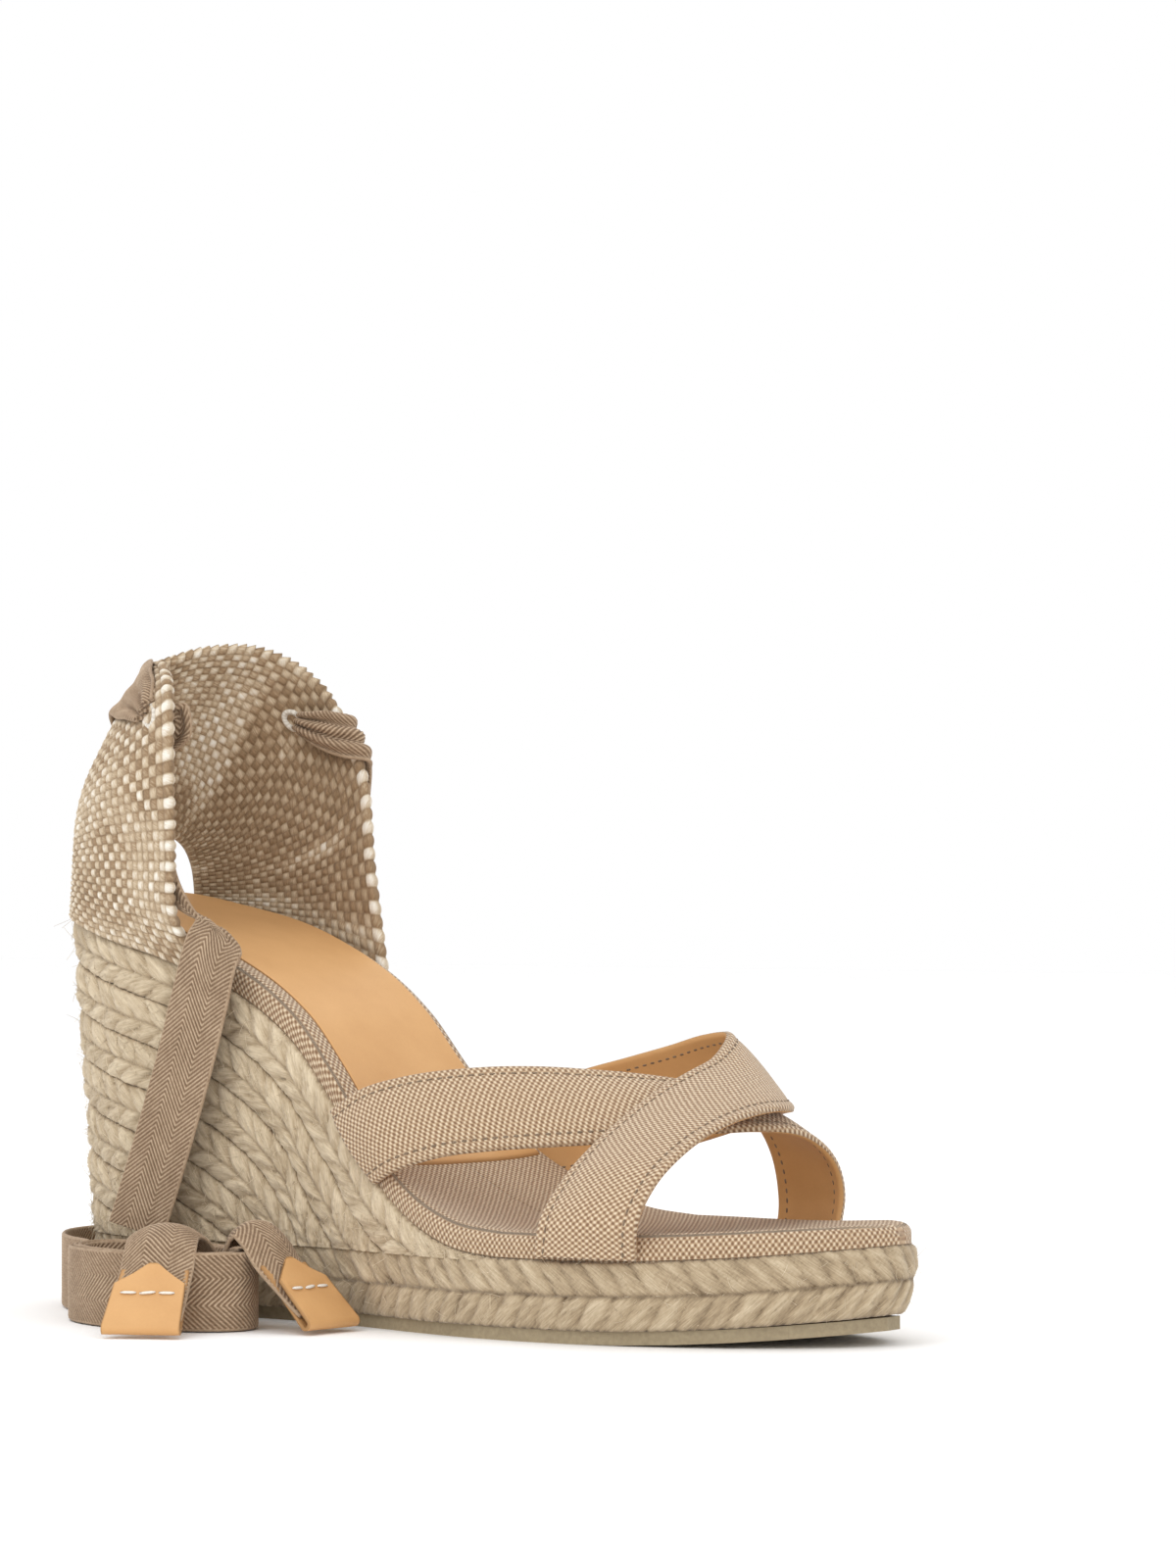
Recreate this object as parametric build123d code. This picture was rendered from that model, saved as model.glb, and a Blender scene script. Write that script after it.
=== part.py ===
from build123d import *
import math
import os

os.makedirs("parts", exist_ok=True)

# A right-foot wedge sandal on a braided jute platform, in millimetres.
# Every length along the shoe is written from the back of the heel, and HEEL_BACK
# moves it to the part's own frame: +X to the toe, +Y to the inner side of the foot,
# +Z up, with the origin on the ground at the middle of the sole's length.

# Sole
SOLE_LENGTH = 230.0
HEEL_BACK = -SOLE_LENGTH / 2
RUBBER_THICKNESS = 3.0
RUBBER_INSET = 4.5
PLATFORM_TOP = 18.4
TOE_SPRING = 4.0
SPRING_START = 165.0
BRAID_WIDTH = 7.0

# Wedge
WEDGE_RISE = [
    (0, 77.1), (20, 71.3), (45, 64.6), (66, 55.9), (80, 46.8), (92, 34.2),
    (103, 21.6), (114, 11.8), (128, 4.4), (140, 1.0), (150, 0.0),
]
WEDGE_ROWS = 7
ROW_THICKNESS = 10.7
HEEL_FLARE_TOP = 2.4
HEEL_FLARE_BOTTOM = -2.4
FLARE_END = 100.0

# Footbed
BOARD_THICKNESS = 1.2
FOAM_THICKNESS = 4.3
COVER_THICKNESS = 1.0
COVER_INSET = 2.2
FOAM_INSET = 3.2
SOCK_THICKNESS = 0.8
SOCK_INSET = 8.0
SOCK_END = 112.0
SKIN_GAP = 0.05

# Upper
LAYER_THICKNESS = 0.9
LAYER_GAP = 0.1
STRAP_CROWN = 1.6
COUNTER_THICKNESS = 2.0
EYELET_OUTER = (13.0, 8.0)
EYELET_SLIT = (9.0, 4.0)
EYELET_DEPTH = 3.0
EYELET_FIT = 0.1
OUTER_EYELET = (3.87, 0.895)
INNER_EYELET = (9.0, 0.78)

# Ankle ribbon
TAPE_WIDTH = 17.5
TAPE_THICKNESS = 0.9
GATHERED = (3.2, 4.6)
TAPE_CLEAR = 2.9
ROLL_CENTRE = (61.0, -51.0)
ROLL_HALF = (30.0, 17.0)
ROLL_WALL = 5.0
ROLL_TURN = -12.0
ROLL_SIDES = 28
FLOOR_GAP = 0.3
TIP_LENGTH = 20.0
TIP_WIDTH = 18.0
TIP_THICKNESS = 2.9
TIP_SLOT = 1.1
TIP_SLOT_DEPTH = 17.5
TIP_POINT = 4.0
STITCH_SIZE = (3.4, 0.8, 0.6)
STITCH_PITCH = 4.6
STITCH_COUNT = 3
STITCH_INSET = 6.0

# Plan of the jute edge, from the heel round the outer side, the toe and the inner side
PLAN = [
    (0, 0), (5.7, -18.7), (26.5, -30.1), (56.8, -29.6), (89.9, -30.5), (142, -40.8),
    (189.3, -34.0), (218.6, -15.6), (230, 6.1), (218.6, 22.6), (194, 32.7), (160.9, 39.4),
    (132.5, 36.6), (94.6, 25.1), (56.8, 28.9), (26.5, 30.4), (5.7, 18.8),
]
PLAN_SAMPLES = 40
GRID_STEP = 10.0
HALF_BREADTH = 70.0
DEEP = -30.0

# Edges of the strap that passes underneath, from the outer rear to the inner front
LOWER_STRAP_REAR = [
    (95, -31.0, 49.5), (103, -31.6, 54), (115, -29.5, 57.5), (130, -23, 59.6), (142, -14, 59.8),
    (151, -6.5, 59), (159, 0, 58), (165, 7, 56.6), (168.5, 14, 55), (170, 22, 52),
    (170.5, 30, 46.5), (170.5, 36.5, 38), (170, 39.6, 28), (169.5, 38.6, 19.2),
]
LOWER_STRAP_FRONT = [
    (111, -34.3, 33.2), (117, -35.6, 36), (128, -34, 39.5), (140, -29.5, 41.4), (152, -24, 42.4),
    (162, -18, 43.2), (172, -9.5, 44.3), (181, 0, 45.4), (187, 9, 45.8), (190.5, 18, 44.9),
    (191.5, 26, 42), (191.5, 32.6, 37), (191, 35.6, 30), (190.5, 33.2, 19.6),
]
# Edges of the strap on top, from the outer front to the inner rear
UPPER_STRAP_REAR = [
    (161, -39.9, 19.2), (162, -39, 27), (163, -32, 35.5), (164, -23, 42.5), (166, -12.5, 49.5),
    (168, -3, 55), (169.5, 5, 58.4), (169.5, 13, 61), (168, 20, 64.2), (164.5, 26.5, 67),
    (155, 30.5, 66.4), (143, 33, 63.6), (130, 33.6, 60.5), (117, 31.5, 57), (105, 28.6, 52.5),
    (97, 26.2, 47.6),
]
UPPER_STRAP_FRONT = [
    (185.5, -34.8, 19.4), (187.5, -37, 27), (189, -32.5, 35.5), (190, -21.5, 43), (191, -9, 47.8),
    (191.5, 1, 49.8), (191, 10, 50.4), (189, 18, 50), (184, 25.5, 49.6), (176.5, 32, 48.6),
    (165, 36.5, 45.6), (152, 38.2, 42), (139, 37.4, 38.5), (126, 34.4, 35), (118, 31.8, 32.5),
    (112.5, 30.2, 32.0),
]

# The woven heel piece is one band bent round an opening at the back of the heel.
# Each rib runs across the band, from the edge at the opening to the outer edge.
COUNTER_RIBS = [
    [(5, -21.5, 93.6), (14, -29.0, 91.8), (27, -31.6, 88.2), (42, -31.6, 84.4), (57, -30.6, 79.2)],
    [(5.5, -21.2, 99), (13.5, -29, 99), (26, -33.5, 97), (38.5, -34.3, 95.2), (49.5, -33.8, 93)],
    [(6, -19.5, 105.5), (12.5, -28, 107.5), (24.5, -33.5, 108.5), (38.5, -35.5, 109), (50, -35.5, 109)],
    [(6.2, -16, 110.5), (11, -25.5, 116), (21, -32, 120.5), (36, -35.5, 124), (50, -36, 126.5)],
    [(6.3, -11, 113), (10, -20.5, 123.5), (19.5, -27, 131.5), (33.5, -31.8, 138.5), (48.5, -34.8, 146)],
    [(6.5, -5.5, 114.5), (8.5, -12, 126), (15, -17.5, 137), (25.5, -21.5, 146.5), (37.5, -24, 152.5)],
    [(6.5, 0, 115), (7, 0, 126), (8.5, 0, 136.5), (10.5, 0, 146.5), (13, 0, 154.5)],
    [(6.5, 5.5, 114.5), (7, 8.5, 126.5), (8.5, 11.5, 138), (11, 13.5, 149), (14.5, 15, 158.5)],
    [(6.3, 11, 113), (7.5, 17, 124), (10, 21.5, 136), (14.5, 25, 148.5), (21, 26.5, 159)],
    [(6.2, 16, 110.5), (10, 25, 116.5), (18, 30.5, 127), (28, 32.5, 140), (35, 33, 151)],
    [(6, 19.5, 105.5), (12.5, 28, 107.5), (24, 32.5, 112.5), (38, 34, 120), (49, 34, 131)],
    [(5.5, 21.2, 99), (13.5, 29, 99), (26, 33, 99.5), (41, 33, 101.5), (54.5, 32, 104)],
    [(5, 21.5, 93.6), (14, 29.0, 91.8), (28, 31.4, 87.8), (45, 30.6, 83.4), (62, 28.4, 76.8)],
]


# Ribbon round the heel as (rib, share of the rib, width) rows, then its other runs as
# (centre, direction across, width, thickness) rows
HEEL_RIBBON_ROWS = [
    (4.25, 0.85, 7.5), (4.5, 0.825, 10.5), (4.8, 0.795, 13.0), (5.2, 0.76, 15.5), (6, 0.69, 17.5), (7, 0.68, 17.5),
    (8, 0.7, 17.0), (8.6, 0.75, 11.0),
]
NECK_INSIDE = 3.5
NECK_OUTSIDE = 5.2
LOOSE_GAP = 1.9
OUTER_RUN = [
    ((43.2, -28.4, 136.0), (0.95, 0, 0.1), 11.0, 0.9),
    ((37.4, -30.4, 131), (0.99, 0, 0.0), 15.0, 0.9),
    ((37.0, -32.0, 124), (0.99, 0, -0.1), 16.5, 0.9),
    ((38.0, -32.4, 115), (0.99, 0, -0.15), 17.0, 0.9),
    ((40.2, -32.0, 105), (0.97, 0, -0.25), 17.0, 0.9),
    ((46.5, -31.2, 97.2), (0.93, 0, -0.37), 16.5, 0.9),
    ((57, -30.6, 92), (0.9, 0, -0.43), 16.5, 0.9),
    ((61.6, -31.4, 89.2), (0.88, 0, -0.48), 15.0, 0.9),
    ((62.4, -33.6, 87.2), (0.88, 0, -0.48), 14.0, 0.9),
]
INNER_RUN = [
    ((39.5, 28.7, 139.2), (0.1, 0, 0.99), 9.0, 0.9),
    ((44.4, 30.2, 137.6), (-0.3, 0, 0.95), 11.5, 0.9),
    ((48.4, 33.9, 136.6), (-0.5, 0, 0.87), 12.5, 0.9),
    ((44.8, 37.9, 134.6), (-0.6, 0, 0.8), 13.5, 0.9),
    ((40.5, 38.9, 124), (-0.85, 0, 0.52), 16.0, 0.9),
    ((39, 39, 112), (-0.97, 0, 0.2), 17.5, 0.9),
    ((40.5, 39.2, 60), (-1, 0, 0), 17.5, 0.9),
    ((45, 38.6, 19), (-1, 0, 0), 17.5, 0.9),
]
FLOOR_RUN = [
    (54, 38.6), (36, 38), (19, 35), (5, 25.5), (-3.6, 11), (-5, 0), (-2.5, -13), (6, -26),
    (17, -35.5), (29, -42),
]
HANGING_RUN = [
    ((62.5, -35.8, 84.2), (0.85, 0, -0.53), 16.0, 0.9),
    ((58.5, -36.2, 72), (0.96, 0, -0.28), 17.5, 0.9),
    ((49.5, -37, 45), (0.97, 0, -0.24), 17.5, 0.9),
    ((40.5, -38, 20.2), (0.98, 0, -0.2), 17.5, 0.9),
]
# Ribbon ends: from inside the roll, over its wall, then the top and end of the leather tip
FRONT_TAIL = [
    (70.5, -52.6, 17.5), (69.7, -57, 23.2), (72, -63, 23.2), (75.2, -68, 20.6),
    (77.9, -72.5, 14.9), (85, -85, 1.7),
]
SIDE_TAIL = [
    (80, -47.2, 18.6), (82.8, -47.1, 22.6), (85.7, -47, 24.0), (90, -46.95, 21.3),
    (94.5, -46.9, 15.6), (108.7, -46.6, 1.5),
]


def smooth(stations, x):
    """Value at x of a monotone cubic curve through (x, value) stations."""
    xs = [station[0] for station in stations]
    ys = [station[1] for station in stations]
    if x <= xs[0]:
        return ys[0] + (x - xs[0]) * (ys[1] - ys[0]) / (xs[1] - xs[0])
    if x >= xs[-1]:
        return ys[-1]
    steps = [(ys[i + 1] - ys[i]) / (xs[i + 1] - xs[i]) for i in range(len(xs) - 1)]
    slopes = [steps[0]]
    for before, after in zip(steps, steps[1:]):
        slopes.append(2 * before * after / (before + after) if before * after > 0 else 0)
    slopes.append(steps[-1])
    i = max(k for k in range(len(xs) - 1) if xs[k] <= x)
    width = xs[i + 1] - xs[i]
    t = (x - xs[i]) / width
    start = (1 + 2 * t) * (1 - t) ** 2 * ys[i] + t * (1 - t) ** 2 * width * slopes[i]
    return start + t * t * (3 - 2 * t) * ys[i + 1] + t * t * (t - 1) * width * slopes[i + 1]


def spring(x):
    """Height by which the toe curves up off the ground."""
    return TOE_SPRING * max(0.0, (x - SPRING_START) / (SOLE_LENGTH - SPRING_START)) ** 2


def platform_top(x):
    return PLATFORM_TOP + spring(x)


def wedge_top(x):
    return platform_top(x) + smooth(WEDGE_RISE, x)


def row_seam(row):
    """Curve under that many rows of braid, each row as thick across the slope."""
    def seam(x):
        slope = (wedge_top(x + 2) - wedge_top(x - 2)) / 4
        return wedge_top(x) - row * ROW_THICKNESS * math.hypot(1, slope)
    return seam


def raised(height):
    return lambda x: wedge_top(x) + height


def lifted(height):
    return lambda x: height + spring(x)


def in_frame(point):
    return (point[0] + HEEL_BACK, point[1], point[2])


def flare_share(x):
    """How far the slant of the heel is felt at x: all of it at the back, none past the arch."""
    return min(1.0, max(0.0, 1 - (x - 10) / (FLARE_END - 10)))


def plan_face(inset, flare=0.0):
    """Plan of the sole, moved inward by inset and out at the heel by flare."""
    edge = Spline(*[(x, y) for x, y in PLAN], periodic=True)
    points = []
    for i in range(PLAN_SAMPLES):
        place = edge @ (i / PLAN_SAMPLES)
        along = edge % (i / PLAN_SAMPLES)
        move = flare * flare_share(place.X) - inset
        points.append((place.X + HEEL_BACK + along.Y * move, place.Y - along.X * move))
    return make_face(Polyline(*points, close=True))


def plan_block(inset, low, high, flare=0.0):
    return extrude(Pos(0, 0, low) * plan_face(inset, flare), high - low)


def side_curve(height):
    steps = int(SOLE_LENGTH / GRID_STEP)
    xs = [GRID_STEP * i for i in range(-1, steps + 2)]
    return [(x + HEEL_BACK, height(x)) for x in xs]


def side_block(points):
    """A side view outline, given as (x, z) points, run across the whole breadth."""
    face = Plane.XZ * make_face(Polyline(*points, close=True))
    return extrude(face, HALF_BREADTH, both=True)


def slab(low, high):
    return side_block(side_curve(low) + side_curve(high)[::-1])


def under(height):
    curve = side_curve(height)
    return side_block(curve + [(curve[-1][0], DEEP), (curve[0][0], DEEP)])


def triangle(a, b, c):
    return Face(Wire.make_polygon([in_frame(a), in_frame(b), in_frame(c)], close=True))


def quad(a, b, c, d):
    return [triangle(a, b, c), triangle(a, c, d)]


def closed_sheet(top, bottom):
    """Solid between two matching grids of points."""
    faces = []
    last_row = len(top) - 1
    last = len(top[0]) - 1
    for i in range(last_row):
        for j in range(last):
            faces += quad(top[i][j], top[i + 1][j], top[i + 1][j + 1], top[i][j + 1])
            faces += quad(bottom[i][j], bottom[i][j + 1], bottom[i + 1][j + 1], bottom[i + 1][j])
        faces += quad(top[i][0], bottom[i][0], bottom[i + 1][0], top[i + 1][0])
        faces += quad(top[i][last], top[i + 1][last], bottom[i + 1][last], bottom[i][last])
    for j in range(last):
        faces += quad(top[0][j], top[0][j + 1], bottom[0][j + 1], bottom[0][j])
        faces += quad(top[last_row][j], bottom[last_row][j], bottom[last_row][j + 1], top[last_row][j + 1])
    return Solid(Shell(faces))


def moved_out(grid, distance):
    """The grid moved away from the foot by distance."""
    result = []
    for i, row in enumerate(grid):
        before = grid[max(i - 1, 0)]
        after = grid[min(i + 1, len(grid) - 1)]
        moved = []
        for j, point in enumerate(row):
            along = Vector(*after[j]) - Vector(*before[j])
            across = Vector(*row[min(j + 1, len(row) - 1)]) - Vector(*row[max(j - 1, 0)])
            moved.append(tuple(Vector(*point) - along.cross(across).normalized() * distance))
        result.append(moved)
    return result


def save(name, shape):
    solids = shape.solids()
    result = solids[0] if len(solids) == 1 else Compound(children=solids)
    export_step(result, f"parts/{name}.step")


def rubber_outsole():
    return plan_block(RUBBER_INSET, -1, 30, HEEL_FLARE_BOTTOM) & slab(spring, lifted(RUBBER_THICKNESS))


def platform_braid():
    ring = plan_block(0, 0, 30, HEEL_FLARE_BOTTOM) - plan_block(BRAID_WIDTH, -1, 31)
    return ring & slab(lifted(RUBBER_THICKNESS), platform_top)


def platform_coil():
    return plan_block(BRAID_WIDTH, 0, 30) & slab(lifted(RUBBER_THICKNESS), platform_top)


def wedge_row(row):
    share = (row - 0.5) / WEDGE_ROWS
    flare = HEEL_FLARE_TOP + share * (HEEL_FLARE_BOTTOM - HEEL_FLARE_TOP)
    ring = plan_block(0, PLATFORM_TOP, 110, flare) - plan_block(BRAID_WIDTH, 0, 111)
    band = ring & under(row_seam(row - 1))
    if row < WEDGE_ROWS:
        band = band - under(row_seam(row))
    return band & plan_clip()


def plan_clip():
    """The stretch of the shoe that the wedge takes up."""
    end = WEDGE_RISE[-1][0] + HEEL_BACK - 4
    return Pos((end + HEEL_BACK - 10) / 2, 0, 60) * Box(end - HEEL_BACK + 10, 200, 130)


def wedge_core():
    return plan_block(BRAID_WIDTH, PLATFORM_TOP, 110) & under(wedge_top) & plan_clip()


def insole_board():
    return plan_block(FOAM_INSET, 0, 130) & slab(wedge_top, raised(BOARD_THICKNESS))


def footbed_foam():
    top = BOARD_THICKNESS + FOAM_THICKNESS
    return plan_block(FOAM_INSET, 0, 130) & slab(raised(BOARD_THICKNESS), raised(top))


def footbed_cover():
    inside = BOARD_THICKNESS + FOAM_THICKNESS
    block = plan_block(COVER_INSET, 0, 130) & slab(wedge_top, raised(inside + COVER_THICKNESS))
    hollow = plan_block(FOAM_INSET - SKIN_GAP, 0, 130) & under(raised(inside))
    return block - hollow


def leather_sock():
    low = BOARD_THICKNESS + FOAM_THICKNESS + COVER_THICKNESS
    sheet = plan_block(SOCK_INSET, 0, 130) & slab(raised(low), raised(low + SOCK_THICKNESS))
    kept = Pos(HEEL_BACK + SOCK_END / 2 - 5, 0, 70) * Box(SOCK_END + 10, 200, 150)
    return sheet & kept


def strap_grid(rear, front):
    """Rows across a strap: rear edge, crowned middle, front edge."""
    rows = []
    for i, (a, b) in enumerate(zip(rear, front)):
        along = Vector(*rear[min(i + 1, len(rear) - 1)]) - Vector(*rear[max(i - 1, 0)])
        out = (Vector(*b) - Vector(*a)).cross(along).normalized()
        rows.append([a, tuple(between(a, b, 0.5) + out * STRAP_CROWN), b])
    return rows


def layer(grid, inner, outer):
    return closed_sheet(moved_out(grid, outer), moved_out(grid, inner))


def strap_canvas(grid):
    return layer(grid, LAYER_GAP / 2, LAYER_GAP / 2 + LAYER_THICKNESS)


def strap_lining(grid):
    return layer(grid, -LAYER_GAP / 2 - LAYER_THICKNESS, -LAYER_GAP / 2)


def between(a, b, share):
    return Vector(*a) * (1 - share) + Vector(*b) * share


def band_point(rib, share):
    """Point on the woven heel band, part of the way between ribs and part of the way across."""
    first = min(int(rib), len(COUNTER_RIBS) - 2)
    along = rib - first
    column = min(int(share * 4), 3)
    low = COUNTER_RIBS[first]
    high = COUNTER_RIBS[first + 1]
    part = share * 4 - column
    near = between(low[column], low[column + 1], part)
    far = between(high[column], high[column + 1], part)
    return between(near, far, along)


def band_plane(rib, share):
    """Plane lying on the band: X forward round the band, Y to the rim, Z away from the foot."""
    centre = band_point(rib, share)
    across = band_point(rib, share + 0.1) - band_point(rib, share - 0.1)
    along = band_point(rib + 0.3, share) - band_point(rib - 0.3, share)
    out = across.cross(along).normalized()
    return Plane(origin=centre, x_dir=across.normalized().cross(out), z_dir=out)


def spot(plane, x, y, z):
    return plane.from_local_coords((x, y, z))


def eyelet_block(place, size, depth):
    plane = band_plane(*place)
    placed = Plane(origin=Vector(*in_frame(tuple(plane.origin))), x_dir=plane.x_dir, z_dir=plane.z_dir)
    return extrude(placed * SlotOverall(*size), depth / 2, both=True)


def heel_counter():
    half = COUNTER_THICKNESS / 2
    band = layer(COUNTER_RIBS, -half, half)
    hole = (EYELET_OUTER[0] + 2 * EYELET_FIT, EYELET_OUTER[1] + 2 * EYELET_FIT)
    for place in (OUTER_EYELET, INNER_EYELET):
        band = band - eyelet_block(place, hole, 3 * EYELET_DEPTH)
    return band


def eyelet(place):
    slit = eyelet_block(place, EYELET_SLIT, 2 * EYELET_DEPTH)
    return eyelet_block(place, EYELET_OUTER, EYELET_DEPTH) - slit


def tape(rows):
    """Ribbon through (centre, direction across, width, thickness) rows."""
    top = []
    bottom = []
    for i, (centre, across, width, thickness) in enumerate(rows):
        before = rows[max(i - 1, 0)][0]
        after = rows[min(i + 1, len(rows) - 1)][0]
        side = Vector(*across).normalized()
        up = (Vector(*after) - Vector(*before)).cross(side).normalized()
        edges = [Vector(*centre) - side * (width / 2), Vector(*centre) + side * (width / 2)]
        top.append([tuple(edge + up * (thickness / 2)) for edge in edges])
        bottom.append([tuple(edge - up * (thickness / 2)) for edge in edges])
    return closed_sheet(top, bottom)


def tape_row(centre, across):
    return (centre, across, TAPE_WIDTH, TAPE_THICKNESS)


def gathered_row(plane, out):
    """Where the ribbon is bunched up to pass an eyelet."""
    return (tuple(spot(plane, 0, 0, out)), tuple(plane.y_dir), *GATHERED)


def heel_ribbon():
    outer = band_plane(*OUTER_EYELET)
    inner = band_plane(*INNER_EYELET)
    rows = [gathered_row(outer, -NECK_INSIDE), gathered_row(outer, NECK_OUTSIDE)]
    planes = [band_plane(rib, share) for rib, share, _ in HEEL_RIBBON_ROWS]
    for i, plane in enumerate(planes):
        run = planes[min(i + 1, len(planes) - 1)].origin - planes[max(i - 1, 0)].origin
        width = HEEL_RIBBON_ROWS[i][2]
        rows.append((tuple(spot(plane, 0, 0, TAPE_CLEAR)), tuple(run.cross(plane.z_dir)), width, TAPE_THICKNESS))
    rows += [gathered_row(inner, NECK_OUTSIDE), gathered_row(inner, -NECK_INSIDE)]
    return tape(rows)


def run_inside(place, rows):
    """Ribbon that leaves the eyelet on the inside and follows the given rows."""
    plane = band_plane(*place)
    start = tuple(spot(plane, 0, 0, -NECK_INSIDE - LOOSE_GAP))
    return tape([(start, rows[0][1], *GATHERED[::-1])] + rows)


def standing_tape(points):
    """Ribbon standing on edge along plan points."""
    sides = []
    for sign in (1, -1):
        side = []
        for i, point in enumerate(points):
            along = Vector(*points[min(i + 1, len(points) - 1)]) - Vector(*points[max(i - 1, 0)])
            normal = Vector(-along.Y, along.X).normalized()
            place = Vector(*point) + normal * (sign * TAPE_THICKNESS / 2)
            side.append((place.X + HEEL_BACK, place.Y))
        sides.append(side)
    face = make_face(Polyline(*(sides[0] + sides[1][::-1]), close=True))
    return extrude(Pos(0, 0, FLOOR_GAP) * face, TAPE_WIDTH)


def oval(half_length, half_breadth):
    points = []
    for i in range(ROLL_SIDES):
        angle = 2 * math.pi * i / ROLL_SIDES
        points.append((half_length * math.cos(angle), half_breadth * math.sin(angle)))
    return make_face(Polyline(*points, close=True))


def ribbon_roll():
    ring = oval(*ROLL_HALF) - oval(ROLL_HALF[0] - ROLL_WALL, ROLL_HALF[1] - ROLL_WALL)
    place = Pos(ROLL_CENTRE[0] + HEEL_BACK, ROLL_CENTRE[1], FLOOR_GAP) * Rot(0, 0, ROLL_TURN)
    return extrude(place * ring, TAPE_WIDTH)


def tail_plane(path):
    """Plane at the top of a leather tip: X down the tip, Z off its stitched face."""
    start = Vector(*path[-2])
    down = (Vector(*path[-1]) - start).normalized()
    side = Vector(-down.Y, down.X, 0)
    return Plane(origin=start, x_dir=down, z_dir=down.cross(side))


def tail(path):
    """Ribbon end from inside the roll over its wall and into the leather tip."""
    plane = tail_plane(path)
    points = path[:-2] + [tuple(spot(plane, -1.5, 0, 0)), tuple(spot(plane, TIP_SLOT_DEPTH - 0.5, 0, 0))]
    return tape([tape_row(point, tuple(plane.y_dir)) for point in points])


def on_tip(path, shape):
    plane = tail_plane(path)
    placed = Plane(origin=Vector(*in_frame(tuple(plane.origin))), x_dir=plane.x_dir, z_dir=plane.z_dir)
    return placed * shape


def tip_plan(point):
    half = TIP_WIDTH / 2
    corners = [(point, -half), (TIP_LENGTH, -half), (TIP_LENGTH, half), (point, half), (0, 0)]
    return make_face(Polyline(*corners, close=True))


def leather_tip(path):
    """Leather folded round the ribbon's end, with a pointed flap on the stitched face."""
    half = TIP_THICKNESS / 2
    front = extrude(tip_plan(TIP_POINT), half)
    back = extrude(tip_plan(TIP_POINT), -half)
    slot = Pos(TIP_SLOT_DEPTH / 2 - 1, 0, 0) * Box(TIP_SLOT_DEPTH + 2, TIP_WIDTH + 2, TIP_SLOT)
    return on_tip(path, front + back - slot)


def tip_stitches(path):
    row = Compound(children=[
        Pos(STITCH_INSET, (i - (STITCH_COUNT - 1) / 2) * STITCH_PITCH, (TIP_THICKNESS + STITCH_SIZE[2]) / 2)
        * Box(STITCH_SIZE[1], STITCH_SIZE[0], STITCH_SIZE[2])
        for i in range(STITCH_COUNT)
    ])
    return on_tip(path, row)


lower_strap = strap_grid(LOWER_STRAP_REAR, LOWER_STRAP_FRONT)
upper_strap = strap_grid(UPPER_STRAP_REAR, UPPER_STRAP_FRONT)
save("rubber_outsole", rubber_outsole())
save("platform_braid", platform_braid())
save("platform_coil", platform_coil())
for row in range(1, WEDGE_ROWS + 1):
    save(f"wedge_braid_{row}", wedge_row(row))
save("wedge_core", wedge_core())
save("insole_board", insole_board())
save("footbed_foam", footbed_foam())
save("footbed_cover", footbed_cover())
save("leather_sock", leather_sock())
save("lower_strap_canvas", strap_canvas(lower_strap))
save("lower_strap_lining", strap_lining(lower_strap))
save("upper_strap_canvas", strap_canvas(upper_strap))
save("upper_strap_lining", strap_lining(upper_strap))
save("heel_counter", heel_counter())
save("outer_eyelet", eyelet(OUTER_EYELET))
save("inner_eyelet", eyelet(INNER_EYELET))
save("heel_ribbon", heel_ribbon())
save("outer_inside_run", run_inside(OUTER_EYELET, OUTER_RUN))
save("inner_side_fold", run_inside(INNER_EYELET, INNER_RUN))
save("floor_ribbon_run", standing_tape(FLOOR_RUN))
save("outer_hanging_ribbon", tape(HANGING_RUN))
save("ribbon_roll", ribbon_roll())
for name, path in (("front", FRONT_TAIL), ("side", SIDE_TAIL)):
    save(f"{name}_ribbon_tail", tail(path))
    save(f"{name}_leather_tip", leather_tip(path))
    save(f"{name}_tip_stitches", tip_stitches(path))
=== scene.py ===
import bpy
import itertools
import math
import numpy as np
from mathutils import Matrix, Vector
from types import SimpleNamespace


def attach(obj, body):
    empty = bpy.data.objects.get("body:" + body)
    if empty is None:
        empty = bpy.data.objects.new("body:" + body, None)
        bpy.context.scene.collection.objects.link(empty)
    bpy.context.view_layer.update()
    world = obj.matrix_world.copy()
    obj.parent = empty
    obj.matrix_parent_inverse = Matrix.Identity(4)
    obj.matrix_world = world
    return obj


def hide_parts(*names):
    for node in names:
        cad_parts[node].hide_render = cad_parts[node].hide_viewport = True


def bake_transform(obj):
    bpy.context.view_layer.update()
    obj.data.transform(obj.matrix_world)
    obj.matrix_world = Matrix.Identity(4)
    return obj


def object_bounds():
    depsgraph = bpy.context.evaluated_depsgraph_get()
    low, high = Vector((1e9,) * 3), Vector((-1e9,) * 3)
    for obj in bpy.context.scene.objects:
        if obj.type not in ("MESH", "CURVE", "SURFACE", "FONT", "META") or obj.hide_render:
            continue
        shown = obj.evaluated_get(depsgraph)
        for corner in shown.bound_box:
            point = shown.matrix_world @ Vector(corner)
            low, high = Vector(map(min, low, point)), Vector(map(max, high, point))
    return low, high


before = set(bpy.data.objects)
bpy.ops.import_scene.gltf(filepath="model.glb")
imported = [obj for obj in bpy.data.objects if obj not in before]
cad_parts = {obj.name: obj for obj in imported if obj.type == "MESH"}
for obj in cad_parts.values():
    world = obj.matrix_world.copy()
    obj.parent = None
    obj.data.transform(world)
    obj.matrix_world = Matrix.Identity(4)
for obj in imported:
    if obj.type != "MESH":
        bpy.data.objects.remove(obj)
cad_low, cad_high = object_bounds()

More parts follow.
